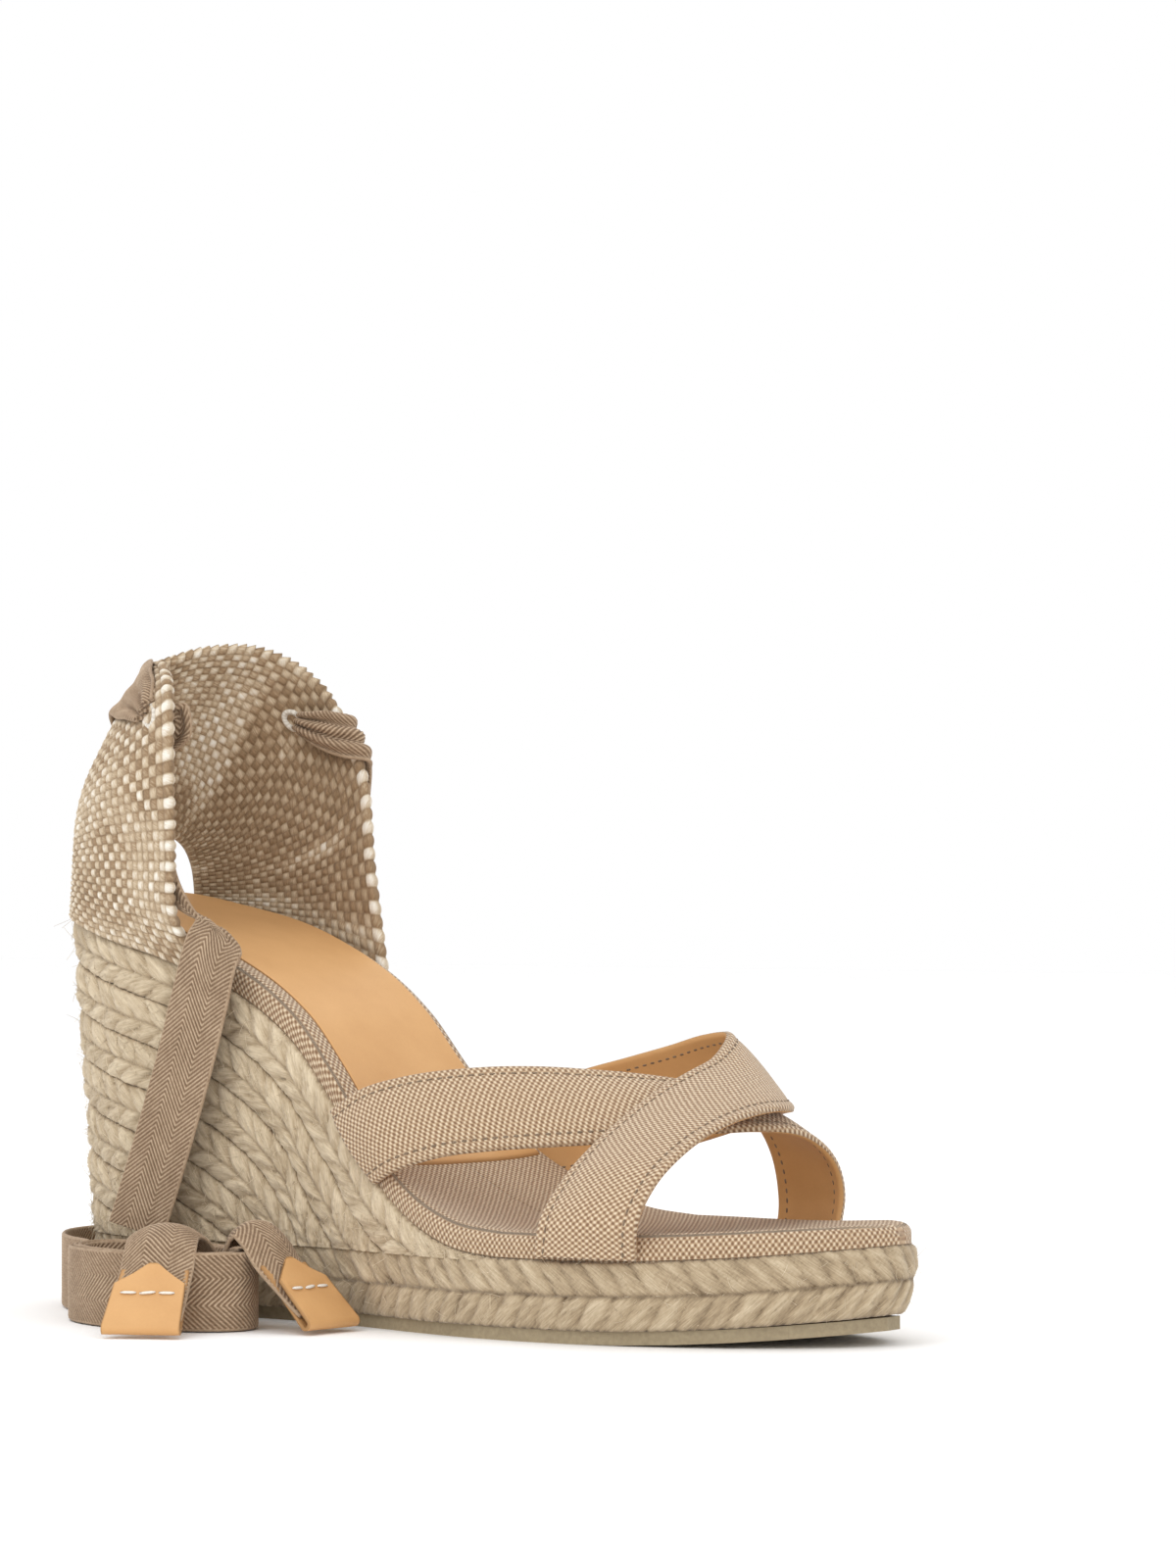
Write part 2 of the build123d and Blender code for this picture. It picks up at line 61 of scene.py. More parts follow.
# Lengths are in millimetres from the back of the heel, as the shoe was designed; MM and
# HEEL_BACK take them to the frame's metres.
MM = 0.001
SOLE_LENGTH = 230.0
HEEL_BACK = -SOLE_LENGTH / 2
SEED = 7
WOBBLE_CELLS = 64

# Sole and wedge
TOE_OFFSET = 6.1
PLATFORM_TOP = 18.4
RUBBER_THICKNESS = 3.0
TOE_SPRING = 4.0
SPRING_START = 165.0
ROW_THICKNESS = 10.7
HALF_ROW = ROW_THICKNESS / 2
WEDGE_ROWS = 7
HEEL_FLARE_TOP = 2.4
HEEL_FLARE_BOTTOM = -2.4
FLARE_START = 10.0
FLARE_END = 100.0
WEDGE_RISE = [
    (0, 77.1), (20, 71.3), (45, 64.6), (66, 55.9), (80, 46.8), (92, 34.2),
    (103, 21.6), (114, 11.8), (128, 4.4), (140, 1.0), (150, 0.0),
]
PLAN = [
    (0, 0), (5.7, -18.7), (26.5, -30.1), (56.8, -29.6), (89.9, -30.5), (142, -40.8),
    (189.3, -34.0), (218.6, -15.6), (230, 6.1), (218.6, 22.6), (194, 32.7), (160.9, 39.4),
    (132.5, 36.6), (94.6, 25.1), (56.8, 28.9), (26.5, 30.4), (5.7, 18.8),
]

# Plaited jute: the points round a row, its step in height, its depth and its lobes
ROW_POINTS = 1100
PLATFORM_POINTS = 1300
ROW_SINK = 0.6
BRAID_STEP = 0.5
BRAID_DEPTH = 6.0
BRAID_EDGE = 1.5
PLATFORM_UNDERCUT = 2.2
LOBE_PITCH = 6.4
PLATFORM_LOBE_PITCH = 5.8
LOBE_RELIEF = 0.75
LOBE_SLANT = 0.95
FIBRE_RELIEF = 0.27
INSIDE_SHADE = 0.6
HAIR_LENGTH = 2.7
HAIR_WIDTH = 0.07
HAIR_STATIONS = 5
HAIRS_PER_ROW = 520

# Footbed
FOOTBED_THICKNESS = 6.5
COVER_INSET = 1.6
COVER_STATIONS = 500
COVER_RINGS = 40
SIDE_ROWS = 5
ROUND_ROWS = 6
EDGE_ROUND = 3.6
DISH_DEPTH = 1.4
SOCK_INSET = 8.0
SOCK_FAR_INSET = 5.0
SOCK_END = 112.0
SOCK_THICKNESS = 0.7
SOCK_GRID = (300, 90)
SPINE_POINTS = 400
EDGE_POINTS = 4000

# Straps
STRAP_STEP = 0.56
STRAP_CROWN = 1.6
CANVAS_LAYER = 0.765
LINING_LAYER = 0.63
STITCH_INSET = 2.8
STITCH_PITCH = 2.4
STITCH_LENGTH = 1.2
CANVAS_PITCH = (1.35, 1.75)

# Heel counter. Its selvedge is bound on the two flaps, as far as these rib numbers.
WARPS = 26
WEAVE_PITCH = 1.8
WEAVE_RELIEF = 0.42
WEAVE_THICKNESS = 2.2
OUTER_FLAP_END = 4.35
INNER_FLAP_START = 8.9

# Eyelets: rib number and share of the rib, half size of the hole, half size of the thread
OUTER_EYELET = (3.87, 0.895)
INNER_EYELET = (9.0, 0.78)
EYELET_HALF = (2.9, 1.8)
EYELET_THREAD = (0.928, 1.856)
EYELET_TURNS = 48
EYELET_SIDES = 10

# Ribbon
TAPE_WIDTH = 17.5
TAPE_THICKNESS = 0.9
TAPE_STEP = 0.21
TAPE_COLUMNS = 80
RIDGE_PITCH = 1.3
RIDGE_RELIEF = 0.24
STITCH_ACROSS = 0.62
CHEVRONS = 3
PLEATS = 3
PLEAT_DEPTH = 1.5
TAIL_CURL = 0.85
HEEL_RIBBON_CLEAR = 2.4
FLOOR_GAP = 0.3
FLOOR_POINTS = 900
ROLL_POINTS = 2200
ROLL_CENTRE = (61.0, -51.0)
ROLL_HALF = (29.5, 16.5)
ROLL_TURN = -12.0
ROLL_START = 150.0
ROLL_TURNS = 4
ROLL_SPACING = 1.15

# Leather tips
TIP_LENGTH = 20.0
TIP_WIDTH = 18.0
TIP_THICKNESS = 2.9
TIP_LEATHER = 0.75
TIP_POINT = 7.0
TIP_FLARE = 1.2
TIP_SEAM = 9.0
TIP_ROWS = 24
TIP_FOLD_ROWS = 14
TIP_COLUMNS = 44
SADDLE_PITCH = 4.4
SADDLE_HALF = 1.8
SADDLE_TILT = 0.25
SADDLE_THREAD = 0.42

# Edges of the two straps
LOWER_STRAP_REAR = [
    (95, -31.0, 49.5), (103, -31.6, 54), (115, -29.5, 57.5), (130, -23, 59.6), (142, -14, 59.8),
    (151, -6.5, 59), (159, 0, 58), (165, 7, 56.6), (168.5, 14, 55), (170, 22, 52),
    (170.5, 30, 46.5), (170.5, 36.5, 38), (170, 39.6, 28), (169.5, 38.6, 19.2),
]
LOWER_STRAP_FRONT = [
    (111, -34.3, 33.2), (117, -35.6, 36), (128, -34, 39.5), (140, -29.5, 41.4), (152, -24, 42.4),
    (162, -18, 43.2), (172, -9.5, 44.3), (181, 0, 45.4), (187, 9, 45.8), (190.5, 18, 44.9),
    (191.5, 26, 42), (191.5, 32.6, 37), (191, 35.6, 30), (190.5, 33.2, 19.6),
]
UPPER_STRAP_REAR = [
    (161, -39.9, 19.2), (162, -39, 27), (163, -32, 35.5), (164, -23, 42.5), (166, -12.5, 49.5),
    (168, -3, 55), (169.5, 5, 58.4), (169.5, 13, 61), (168, 20, 64.2), (164.5, 26.5, 67),
    (155, 30.5, 66.4), (143, 33, 63.6), (130, 33.6, 60.5), (117, 31.5, 57), (105, 28.6, 52.5),
    (97, 26.2, 47.6),
]
UPPER_STRAP_FRONT = [
    (185.5, -34.8, 19.4), (187.5, -37, 27), (189, -32.5, 35.5), (190, -21.5, 43), (191, -9, 47.8),
    (191.5, 1, 49.8), (191, 10, 50.4), (189, 18, 50), (184, 25.5, 49.6), (176.5, 32, 48.6),
    (165, 36.5, 45.6), (152, 38.2, 42), (139, 37.4, 38.5), (126, 34.4, 35), (118, 31.8, 32.5),
    (112.5, 30.2, 32.0),
]

# Ribs of the heel counter, from the foot of each to its free end
COUNTER_RIBS = [
    [(5, -21.5, 93.6), (14, -29.0, 91.8), (27, -31.6, 88.2), (42, -31.6, 84.4), (57, -30.6, 79.2)],
    [(5.5, -21.2, 99), (13.5, -29, 99), (26, -33.5, 97), (38.5, -34.3, 95.2), (49.5, -33.8, 93)],
    [(6, -19.5, 105.5), (12.5, -28, 107.5), (24.5, -33.5, 108.5), (38.5, -35.5, 109), (50, -35.5, 109)],
    [(6.2, -16, 110.5), (11, -25.5, 116), (21, -32, 120.5), (36, -35.5, 124), (50, -36, 126.5)],
    [(6.3, -11, 113), (10, -20.5, 123.5), (19.5, -27, 131.5), (33.5, -31.8, 138.5), (48.5, -34.8, 146)],
    [(6.5, -5.5, 114.5), (8.5, -12, 126), (15, -17.5, 137), (25.5, -21.5, 146.5), (37.5, -24, 152.5)],
    [(6.5, 0, 115), (7, 0, 126), (8.5, 0, 136.5), (10.5, 0, 146.5), (13, 0, 154.5)],
    [(6.5, 5.5, 114.5), (7, 8.5, 126.5), (8.5, 11.5, 138), (11, 13.5, 149), (14.5, 15, 158.5)],
    [(6.3, 11, 113), (7.5, 17, 124), (10, 21.5, 136), (14.5, 25, 148.5), (21, 26.5, 159)],
    [(6.2, 16, 110.5), (10, 25, 116.5), (18, 30.5, 127), (28, 32.5, 140), (35, 33, 151)],
    [(6, 19.5, 105.5), (12.5, 28, 107.5), (24, 32.5, 112.5), (38, 34, 120), (49, 34, 131)],
    [(5.5, 21.2, 99), (13.5, 29, 99), (26, 33, 99.5), (41, 33, 101.5), (54.5, 32, 104)],
    [(5, 21.5, 93.6), (14, 29.0, 91.8), (28, 31.4, 87.8), (45, 30.6, 83.4), (62, 28.4, 76.8)],
]

# Ribbon rows: centre, direction across, width
OUTER_RUN = [
    ((42.8, -32.0, 140.6), (0.5, 0, 0.87), 5.5),
    ((44.6, -29.2, 140.4), (0.7, 0, 0.7), 9.5),
    ((43.6, -28.3, 136.8), (0.95, 0, 0.2), 12.0),
    ((37.4, -30.4, 131), (0.99, 0, 0.0), 15.0),
    ((37.0, -32.0, 124), (0.99, 0, -0.1), 16.5),
    ((38.0, -32.6, 115), (0.99, 0, -0.15), 17.0),
    ((40.2, -32.2, 105), (0.97, 0, -0.25), 17.0),
    ((46.5, -31.4, 97.2), (0.93, 0, -0.37), 16.5),
    ((57, -30.8, 92), (0.9, 0, -0.43), 16.5),
    ((60.8, -31.8, 89.2), (0.88, 0, -0.48), 16.5),
    ((61.4, -34.6, 86.2), (0.88, 0, -0.48), 17.0),
    ((58.8, -35.9, 75), (0.96, 0, -0.28), 17.5),
    ((54.5, -36.5, 60), (0.97, 0, -0.24), 17.5),
    ((49.5, -37, 45), (0.97, 0, -0.24), 17.5),
    ((44.2, -37.6, 30), (0.97, 0, -0.24), 17.5),
    ((40.5, -38, 20.2), (0.98, 0, -0.2), 17.5),
]
INNER_RUN = [
    ((31.8, 30.6, 140.6), (0.4, 0, 0.92), 5.0),
    ((35.6, 28.8, 139.9), (0.3, 0, 0.95), 6.5),
    ((40.0, 28.8, 138.8), (0.1, 0, 0.99), 9.0),
    ((44.4, 30.2, 137.6), (-0.3, 0, 0.95), 11.5),
    ((48.4, 33.9, 136.6), (-0.5, 0, 0.87), 12.5),
    ((44.8, 37.9, 134.6), (-0.6, 0, 0.8), 13.5),
    ((40.5, 38.9, 124), (-0.85, 0, 0.52), 16.0),
    ((39, 39, 112), (-0.97, 0, 0.2), 17.5),
    ((40.5, 39.2, 70), (-1, 0, 0), 17.5),
    ((43.5, 38.9, 40), (-1, 0, 0), 17.5),
    ((45, 38.6, 17.4), (-1, 0, 0), 17.5),
]

# Ribbon round the heel: rib number, share of the rib, width
HEEL_ROWS = [
    (3.93, 0.885, 6.0), (4.25, 0.85, 11.0), (4.6, 0.81, 14.0), (5.1, 0.76, 16.5), (6, 0.69, 17.5),
    (7, 0.68, 17.5), (8, 0.7, 16.5), (8.5, 0.74, 12.0), (8.85, 0.77, 6.0),
]

# Ribbon along the floor, in plan, and the two loose ends from the roll to their tips
FLOOR_RUN = [
    (54, 38.6), (36, 38), (19, 35), (5, 25.5), (-3.6, 11), (-5, 0), (-2.5, -13), (6, -26),
    (17, -35.5), (29.5, -42.5),
]
FRONT_TAIL = [
    (70.5, -52.6, 17.5), (69.7, -57, 22.6), (71.6, -62.2, 23.4), (75.2, -68, 20.6),
    (77.9, -72.5, 14.9), (85, -85, 1.7),
]
SIDE_TAIL = [
    (80, -47.2, 18.6), (82.6, -47.1, 22.6), (85.9, -47, 24.0), (90, -46.95, 21.3),
    (94.5, -46.9, 15.6), (108.7, -46.6, 1.5),
]

# Colours, from dark to pale, and their places on the ramps
JUTE_SHADES = [(0.0, (0.115, 0.073, 0.038)), (0.45, (0.43, 0.33, 0.212)), (1.0, (0.79, 0.67, 0.485))]
RIBBON_SHADES = [(0.0, (0.135, 0.083, 0.047)), (0.5, (0.30, 0.202, 0.126)), (1.0, (0.61, 0.465, 0.325))]
WEAVE_SHADES = [
    (0.0, (0.11, 0.07, 0.036)), (0.4, (0.315, 0.21, 0.12)), (0.7, (0.58, 0.465, 0.325)),
    (1.0, (0.84, 0.79, 0.70)),
]
THREAD_SHADES = [(0.0, (0.5, 0.44, 0.36)), (1.0, (0.88, 0.84, 0.76))]
DARK_THREAD_SHADES = [(0.0, (0.12, 0.08, 0.05)), (1.0, (0.42, 0.31, 0.21))]
CANVAS_SHADES = [
    (0.15, (0.225, 0.130, 0.072)), (0.45, (0.365, 0.238, 0.142)), (0.68, (0.545, 0.395, 0.252)),
    (0.95, (0.74, 0.61, 0.445)),
]
CANVAS_EDGE = (0.35, 0.3, 0.27)
LEATHER_SHADES = [(0.3, (0.585, 0.32, 0.13)), (0.7, (0.67, 0.385, 0.165))]
LEATHER_EDGE = (0.3, 0.25, 0.2)
RUBBER_SHADES = [(0.3, (0.30, 0.24, 0.155)), (0.7, (0.38, 0.31, 0.20))]
FIBRE_SHARES = (0.65, 0.45, 0.2)

# Stage: the camera in millimetres and degrees, then places in metres and powers in watts
CAMERA = (792.5, -982.2, 102.8)
CAMERA_TURN = 38.9
LENS = 125.3
SENSOR = 36
SHIFT = (0.0656, 0.0596)
FLOOR_REACH = 4.0
LIGHTS = [
    ("key", (0.1, -1.3, 1.4), 1.0, 6),
    ("fill", (1.0, -1.2, 0.35), 1.0, 3.5),
    ("top", (-0.2, 0.3, 1.6), 1.4, 4),
]

rng = np.random.default_rng(SEED)


# ---- curves and surfaces
def unit(vectors):
    size = np.linalg.norm(vectors, axis=-1, keepdims=True)
    return vectors / np.maximum(size, 1e-9)


def bell(distance, width):
    """One where the distance is zero, and next to nothing two widths away."""
    return np.exp(-((distance / width) ** 2))


def rounded(edge, width):
    """Quarter circle from zero at an edge to one at a width from it."""
    return np.sqrt(np.clip(1 - (1 - np.clip(edge / width, 0, 1)) ** 2, 0, 1))


def lengths(points, axis=0):
    """Length along a line, or along each line of a grid, at each of its points."""
    total = np.cumsum(np.linalg.norm(np.diff(points, axis=axis), axis=-1), axis=axis)
    return np.concatenate([np.zeros_like(np.take(total, [0], axis=axis)), total], axis=axis)


def hermite(points, count, closed=False):
    """Smooth path through points, at count even places."""
    p = np.array(points, float)
    if closed:
        p = np.vstack([p, p[:1]])
    t = lengths(p)
    return hermite_at(p, t, np.linspace(0, t[-1], count), closed)


def hermite_at(p, t, u, closed=False):
    """Values at u of a smooth curve that has the values p at t."""
    gaps = np.diff(t)
    shape = (-1,) + (1,) * (p.ndim - 1)
    slopes = np.diff(p, axis=0) / gaps.reshape(shape)
    m = np.empty_like(p)
    inner = (slopes[:-1] * gaps[1:].reshape(shape) + slopes[1:] * gaps[:-1].reshape(shape))
    m[1:-1] = inner / (gaps[1:] + gaps[:-1]).reshape(shape)
    if closed:
        ends = (slopes[-1] * gaps[0] + slopes[0] * gaps[-1]) / (gaps[0] + gaps[-1])
        m[0] = ends
        m[-1] = ends
    else:
        m[0] = slopes[0]
        m[-1] = slopes[-1]
    k = np.clip(np.searchsorted(t, u, side="right") - 1, 0, len(p) - 2)
    h = gaps[k].reshape(shape)
    s = ((u - t[k]) / gaps[k]).reshape(shape)
    start = (1 + 2 * s) * (1 - s) ** 2 * p[k] + s * (1 - s) ** 2 * h * m[k]
    return start + s * s * (3 - 2 * s) * p[k + 1] + s * s * (s - 1) * h * m[k + 1]


def smooth_grid(grid, step):
    """Fine grid through a coarse one, with points about a step apart both ways."""
    g = np.array(grid, float)
    for _ in range(2):
        t = lengths(g).mean(axis=1)
        count = max(2, int(t[-1] / step) + 1)
        g = hermite_at(g, t, np.linspace(0, t[-1], count)).transpose(1, 0, 2)
    return g


def normals(g):
    """Directions out of a grid. They point away from the foot on the straps and the counter."""
    return unit(np.cross(np.gradient(g, axis=1), np.gradient(g, axis=0)))


def smooth_station(stations, x):
    """Monotone cubic through (x, value) stations, at x."""
    xs = np.array([s[0] for s in stations], float)
    ys = np.array([s[1] for s in stations], float)
    gaps = np.diff(xs)
    steps = np.diff(ys) / gaps
    m = np.empty_like(ys)
    m[0] = steps[0]
    m[-1] = steps[-1]
    product = steps[:-1] * steps[1:]
    total = steps[:-1] + steps[1:]
    m[1:-1] = np.where(product > 0, 2 * product / np.where(total == 0, 1, total), 0)
    x = np.asarray(x, float)
    k = np.clip(np.searchsorted(xs, x, side="right") - 1, 0, len(xs) - 2)
    w = gaps[k]
    t = np.clip((x - xs[k]) / w, 0, 1)
    value = (1 + 2 * t) * (1 - t) ** 2 * ys[k] + t * (1 - t) ** 2 * w * m[k]
    value = value + t * t * (3 - 2 * t) * ys[k + 1] + t * t * (t - 1) * w * m[k + 1]
    return value + np.where(x < xs[0], (x - xs[0]) * m[0], 0)


def spring(x):
    """Rise of the sole towards the toe."""
    share = (np.asarray(x) - SPRING_START) / (SOLE_LENGTH - SPRING_START)
    return TOE_SPRING * np.clip(share, 0, None) ** 2


def platform_top(x):
    return PLATFORM_TOP + spring(x)


def wedge_top(x):
    return platform_top(x) + smooth_station(WEDGE_RISE, x)


def wedge_slope(x):
    return (wedge_top(x + 1) - wedge_top(x - 1)) / 2


def row_seam(row, x):
    """Height of the seam under a wedge row, counted down from the wedge's top."""
    return wedge_top(x) - row * ROW_THICKNESS * np.hypot(1, wedge_slope(x))


def plan_edge(count):
    """Places and outward directions round the sole, from the back of the heel."""
    p = hermite(PLAN, count + 1, closed=True)[:-1]
    along = unit(np.roll(p, -1, axis=0) - np.roll(p, 1, axis=0))
    out = np.stack([along[:, 1], -along[:, 0]], axis=1)
    return p, out


def flare_at(x, z):
    """How far the heel's wall leans out of the plan at a height."""
    share = np.clip((z - PLATFORM_TOP) / (wedge_top(np.zeros(1))[0] - PLATFORM_TOP), 0, 1)
    flare = HEEL_FLARE_BOTTOM + share * (HEEL_FLARE_TOP - HEEL_FLARE_BOTTOM)
    return flare * np.clip(1 - (x - FLARE_START) / (FLARE_END - FLARE_START), 0, 1)


def wobble(a, b, scale, seed):
    """Smooth random value in about -1..1 over two coordinates."""
    local = np.random.default_rng(seed)
    table = local.uniform(-1, 1, (WOBBLE_CELLS, WOBBLE_CELLS))
    x = np.asarray(a) / scale
    y = np.asarray(b) / scale
    xi = np.floor(x).astype(int)
    yi = np.floor(y).astype(int)
    fx = x - xi
    fy = y - yi
    fx = fx * fx * (3 - 2 * fx)
    fy = fy * fy * (3 - 2 * fy)
    near_x, far_x = xi % WOBBLE_CELLS, (xi + 1) % WOBBLE_CELLS
    near_y, far_y = yi % WOBBLE_CELLS, (yi + 1) % WOBBLE_CELLS
    low = table[near_x, near_y] * (1 - fx) + table[far_x, near_y] * fx
    high = table[near_x, far_y] * (1 - fx) + table[far_x, far_y] * fx
    return low * (1 - fy) + high * fy


# ---- meshes
def new_object(name, data):
    obj = bpy.data.objects.new(name, data)
    bpy.context.collection.objects.link(obj)
    return obj


def new_mesh(name, verts, faces, tint, place):
    """Object from vertices in millimetres from the heel back, with per-point tint and place."""
    verts = np.asarray(verts, float).reshape(-1, 3)
    co = (verts + np.array([HEEL_BACK, 0, 0])) * MM
    faces = np.asarray(faces, np.int32)
    sides = faces.shape[1]
    mesh = bpy.data.meshes.new(name)
    mesh.vertices.add(len(co))
    mesh.vertices.foreach_set("co", co.astype(np.float32).ravel())
    mesh.loops.add(faces.size)
    mesh.loops.foreach_set("vertex_index", faces.ravel())
    mesh.polygons.add(len(faces))
    mesh.polygons.foreach_set("loop_start", np.arange(0, faces.size, sides, dtype=np.int32))
    mesh.update(calc_edges=True)
    mesh.polygons.foreach_set("use_smooth", np.full(len(faces), True))
    layers = (("tint", "FLOAT", "value", tint), ("place", "FLOAT_VECTOR", "vector", place))
    for key, kind, field, values in layers:
        layer = mesh.attributes.new(key, kind, "POINT")
        layer.data.foreach_set(field, np.asarray(values, np.float32).ravel())
    return new_object(name, mesh)


def grid_faces(rows, cols, offset=0, flip=False, wrap=False):
    """Four-sided faces of a grid of vertices, joined end to end where it wraps."""
    count = rows if wrap else rows - 1
    i, j = np.meshgrid(np.arange(count), np.arange(cols - 1), indexing="ij")
    n = (i + 1) % rows
    f = np.stack([i * cols + j, i * cols + j + 1, n * cols + j + 1, n * cols + j], axis=-1)
    f = f.reshape(-1, 4) + offset
    return f[:, ::-1] if flip else f


def closed_sheet(name, top, bottom, tints, places, wrap=False):
    """Closed piece between two matching fine grids. Where it wraps, its walls are flat-shaded."""
    rows, cols = top.shape[:2]
    half = rows * cols
    index = np.arange(half).reshape(rows, cols)
    if wrap:
        edges = [(index[:, 0], 1), (index[:, -1], -1)]
    else:
        loop = (index[0, :-1], index[:-1, -1], index[-1, :0:-1], index[:0:-1, 0])
        edges = [(np.concatenate(loop), -1)]
    faces = [grid_faces(rows, cols, wrap=wrap), grid_faces(rows, cols, half, flip=True, wrap=wrap)]
    for edge, turn in edges:
        beyond = np.roll(edge, -1)
        faces.append(np.stack([edge, beyond, beyond + half, edge + half], axis=1)[:, ::turn])
    verts = np.concatenate([top.reshape(-1, 3), bottom.reshape(-1, 3)])
    tint = np.concatenate([tints[0].ravel(), tints[1].ravel()])
    place = np.concatenate([places[0].reshape(-1, 3), places[1].reshape(-1, 3)])
    obj = new_mesh(name, verts, np.concatenate(faces), tint, place)
    if wrap:
        smooth = np.arange(len(obj.data.polygons)) < len(faces[0]) + len(faces[1])
        obj.data.polygons.foreach_set("use_smooth", smooth)
    return obj


# ---- materials
class Shader:
    """A material, with short calls for the nodes that feed it."""

    def __init__(self, name, roughness, sheen=0.0):
        self.material = bpy.data.materials.new(name)
        self.material.use_nodes = True
        self.tree = self.material.node_tree
        self.inputs = self.tree.nodes["Principled BSDF"].inputs
        self.inputs["Roughness"].default_value = roughness
        self.inputs["Sheen Weight"].default_value = sheen
        self.inputs["Sheen Roughness"].default_value = 0.5
        self.inputs["Specular IOR Level"].default_value = 0.25

    def feed(self, socket, value):
        """Set a socket to a value or join it to another node's output."""
        if isinstance(value, bpy.types.NodeSocket):
            self.tree.links.new(value, socket)
        else:
            socket.default_value = value

    def node(self, kind, output, inputs, **settings):
        """Output of a new node with these inputs and settings."""
        node = self.tree.nodes.new("ShaderNode" + kind)
        for key, value in settings.items():
            setattr(node, key, value)
        for key, value in inputs.items():
            self.feed(node.inputs[key], value)
        return node.outputs[output]

    def attribute(self, name, output):
        return self.node("Attribute", output, {}, attribute_name=name)

    def math(self, operation, *values):
        return self.node("Math", "Value", dict(enumerate(values)), operation=operation)

    def noise(self, vector, scale, detail=4):
        inputs = {"Vector": vector, "Scale": scale, "Detail": detail, "Roughness": 0.6}
        return self.node("TexNoise", "Fac", inputs)

    def ramp(self, source, stops):
        node = self.tree.nodes.new("ShaderNodeValToRGB")
        elements = node.color_ramp.elements
        while len(elements) < len(stops):
            elements.new(0.5)
        for element, (position, colour) in zip(elements, stops):
            element.position = position
            element.color = (*colour, 1)
        self.feed(node.inputs["Fac"], source)
        return node.outputs["Color"]

    def darkened(self, colour, edge):
        """Colour multiplied towards an edge colour where the piece's tint is low: on cut edges, and as
        painted shade on the leather tips' inner face.
        """
        node = self.tree.nodes.new("ShaderNodeMix")
        node.data_type = "RGBA"
        node.blend_type = "MULTIPLY"
        shade = self.ramp(self.attribute("tint", "Fac"), [(0, edge), (1, (1, 1, 1))])
        for key, value in (("Factor", 1.0), ("A", colour), ("B", shade)):
            self.feed([s for s in node.inputs if s.name == key and s.enabled][-1], value)
        return [s for s in node.outputs if s.enabled][0]

    def finished(self, colour, height, distance, strength):
        """The material with its colour and a bump."""
        inputs = {"Height": height, "Distance": distance, "Strength": strength}
        self.feed(self.inputs["Normal"], self.node("Bump", "Normal", inputs))
        self.feed(self.inputs["Base Color"], colour)
        return self.material


def fibre_material(name, shades, streaks, sheen=0.1):
    """Tinted fibres that run along the first place coordinate."""
    shader = Shader(name, 0.9, sheen)
    place = shader.attribute("place", "Vector")
    layers = []
    for scale in (streaks, (streaks[0] * 0.4, streaks[1] * 0.4, 1)):
        stretched = shader.node("Mapping", "Vector", {"Vector": place, "Scale": scale})
        layers.append(shader.noise(stretched, 1.0))
    layers.append(shader.noise(place, 0.09, 2))
    total = shader.attribute("tint", "Fac")
    for layer, share in zip(layers, FIBRE_SHARES):
        total = shader.math("ADD", total, shader.math("MULTIPLY", layer, share))
    total = shader.math("SUBTRACT", total, sum(FIBRE_SHARES) / 2)
    return shader.finished(shader.ramp(total, shades), layers[0], 0.00025, 0.6)


def canvas_material():
    """Plain canvas: pale nubs over darker gaps, whose dark is painted shade."""
    shader = Shader("canvas", 0.88, 0.2)
    place = shader.attribute("place", "Vector")
    jitter = shader.math("MULTIPLY", shader.noise(place, 0.8, 2), 0.45)
    waves = []
    for axis, pitch in zip("XY", CANVAS_PITCH):
        moved = shader.math("ADD", shader.node("SeparateXYZ", axis, {"Vector": place}), jitter)
        waves.append(shader.math("SINE", shader.math("MULTIPLY", moved, 2 * math.pi / pitch)))
    # The cell also drives the bump; its low side is painted shade in the gaps between nubs.
    cell = shader.math("ADD", shader.math("MULTIPLY", shader.math("MULTIPLY", *waves), 0.5), 0.5)
    shade = shader.math("MULTIPLY", shader.noise(place, 1.3, 3), 0.5)
    level = shader.math("SUBTRACT", shader.math("ADD", cell, shade), 0.2)
    colour = shader.darkened(shader.ramp(level, CANVAS_SHADES), CANVAS_EDGE)
    return shader.finished(colour, cell, 0.00035, 0.8)


def leather_material():
    shader = Shader("tan leather", 0.52)
    place = shader.attribute("place", "Vector")
    grain = shader.noise(place, 1.6, 6)
    fine = shader.math("MULTIPLY", grain, 0.25)
    patch = shader.math("MULTIPLY", shader.noise(place, 0.05, 3), 0.75)
    base = shader.ramp(shader.math("ADD", fine, patch), LEATHER_SHADES)
    return shader.finished(shader.darkened(base, LEATHER_EDGE), grain, 0.0001, 0.5)


def rubber_material():
    shader = Shader("outsole rubber", 0.75)
    grain = shader.noise(shader.node("NewGeometry", "Position", {}), 900, 3)
    return shader.finished(shader.ramp(grain, RUBBER_SHADES), grain, 0.0001, 0.4)


JUTE = fibre_material("jute", JUTE_SHADES, (0.28, 4.4, 1.0), 0.2)
RIBBON = fibre_material("ribbon", RIBBON_SHADES, (1.2, 2.4, 1.0))
WEAVE = fibre_material("heel weave", WEAVE_SHADES, (0.9, 3.0, 1.0))
THREAD = fibre_material("white thread", THREAD_SHADES, (2.0, 5.0, 1.0))
DARK_THREAD = fibre_material("dark thread", DARK_THREAD_SHADES, (2.0, 5.0, 1.0))
CANVAS = canvas_material()
LEATHER = leather_material()
RUBBER = rubber_material()


def finish(obj, material, body, nodes=()):
    """Give a piece its material, hide the CAD nodes it stands for and attach it to the body it rides on."""
    obj.data.materials.append(material)
    if nodes:
        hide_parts(*nodes)
    if body:
        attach(obj, body)
    return obj


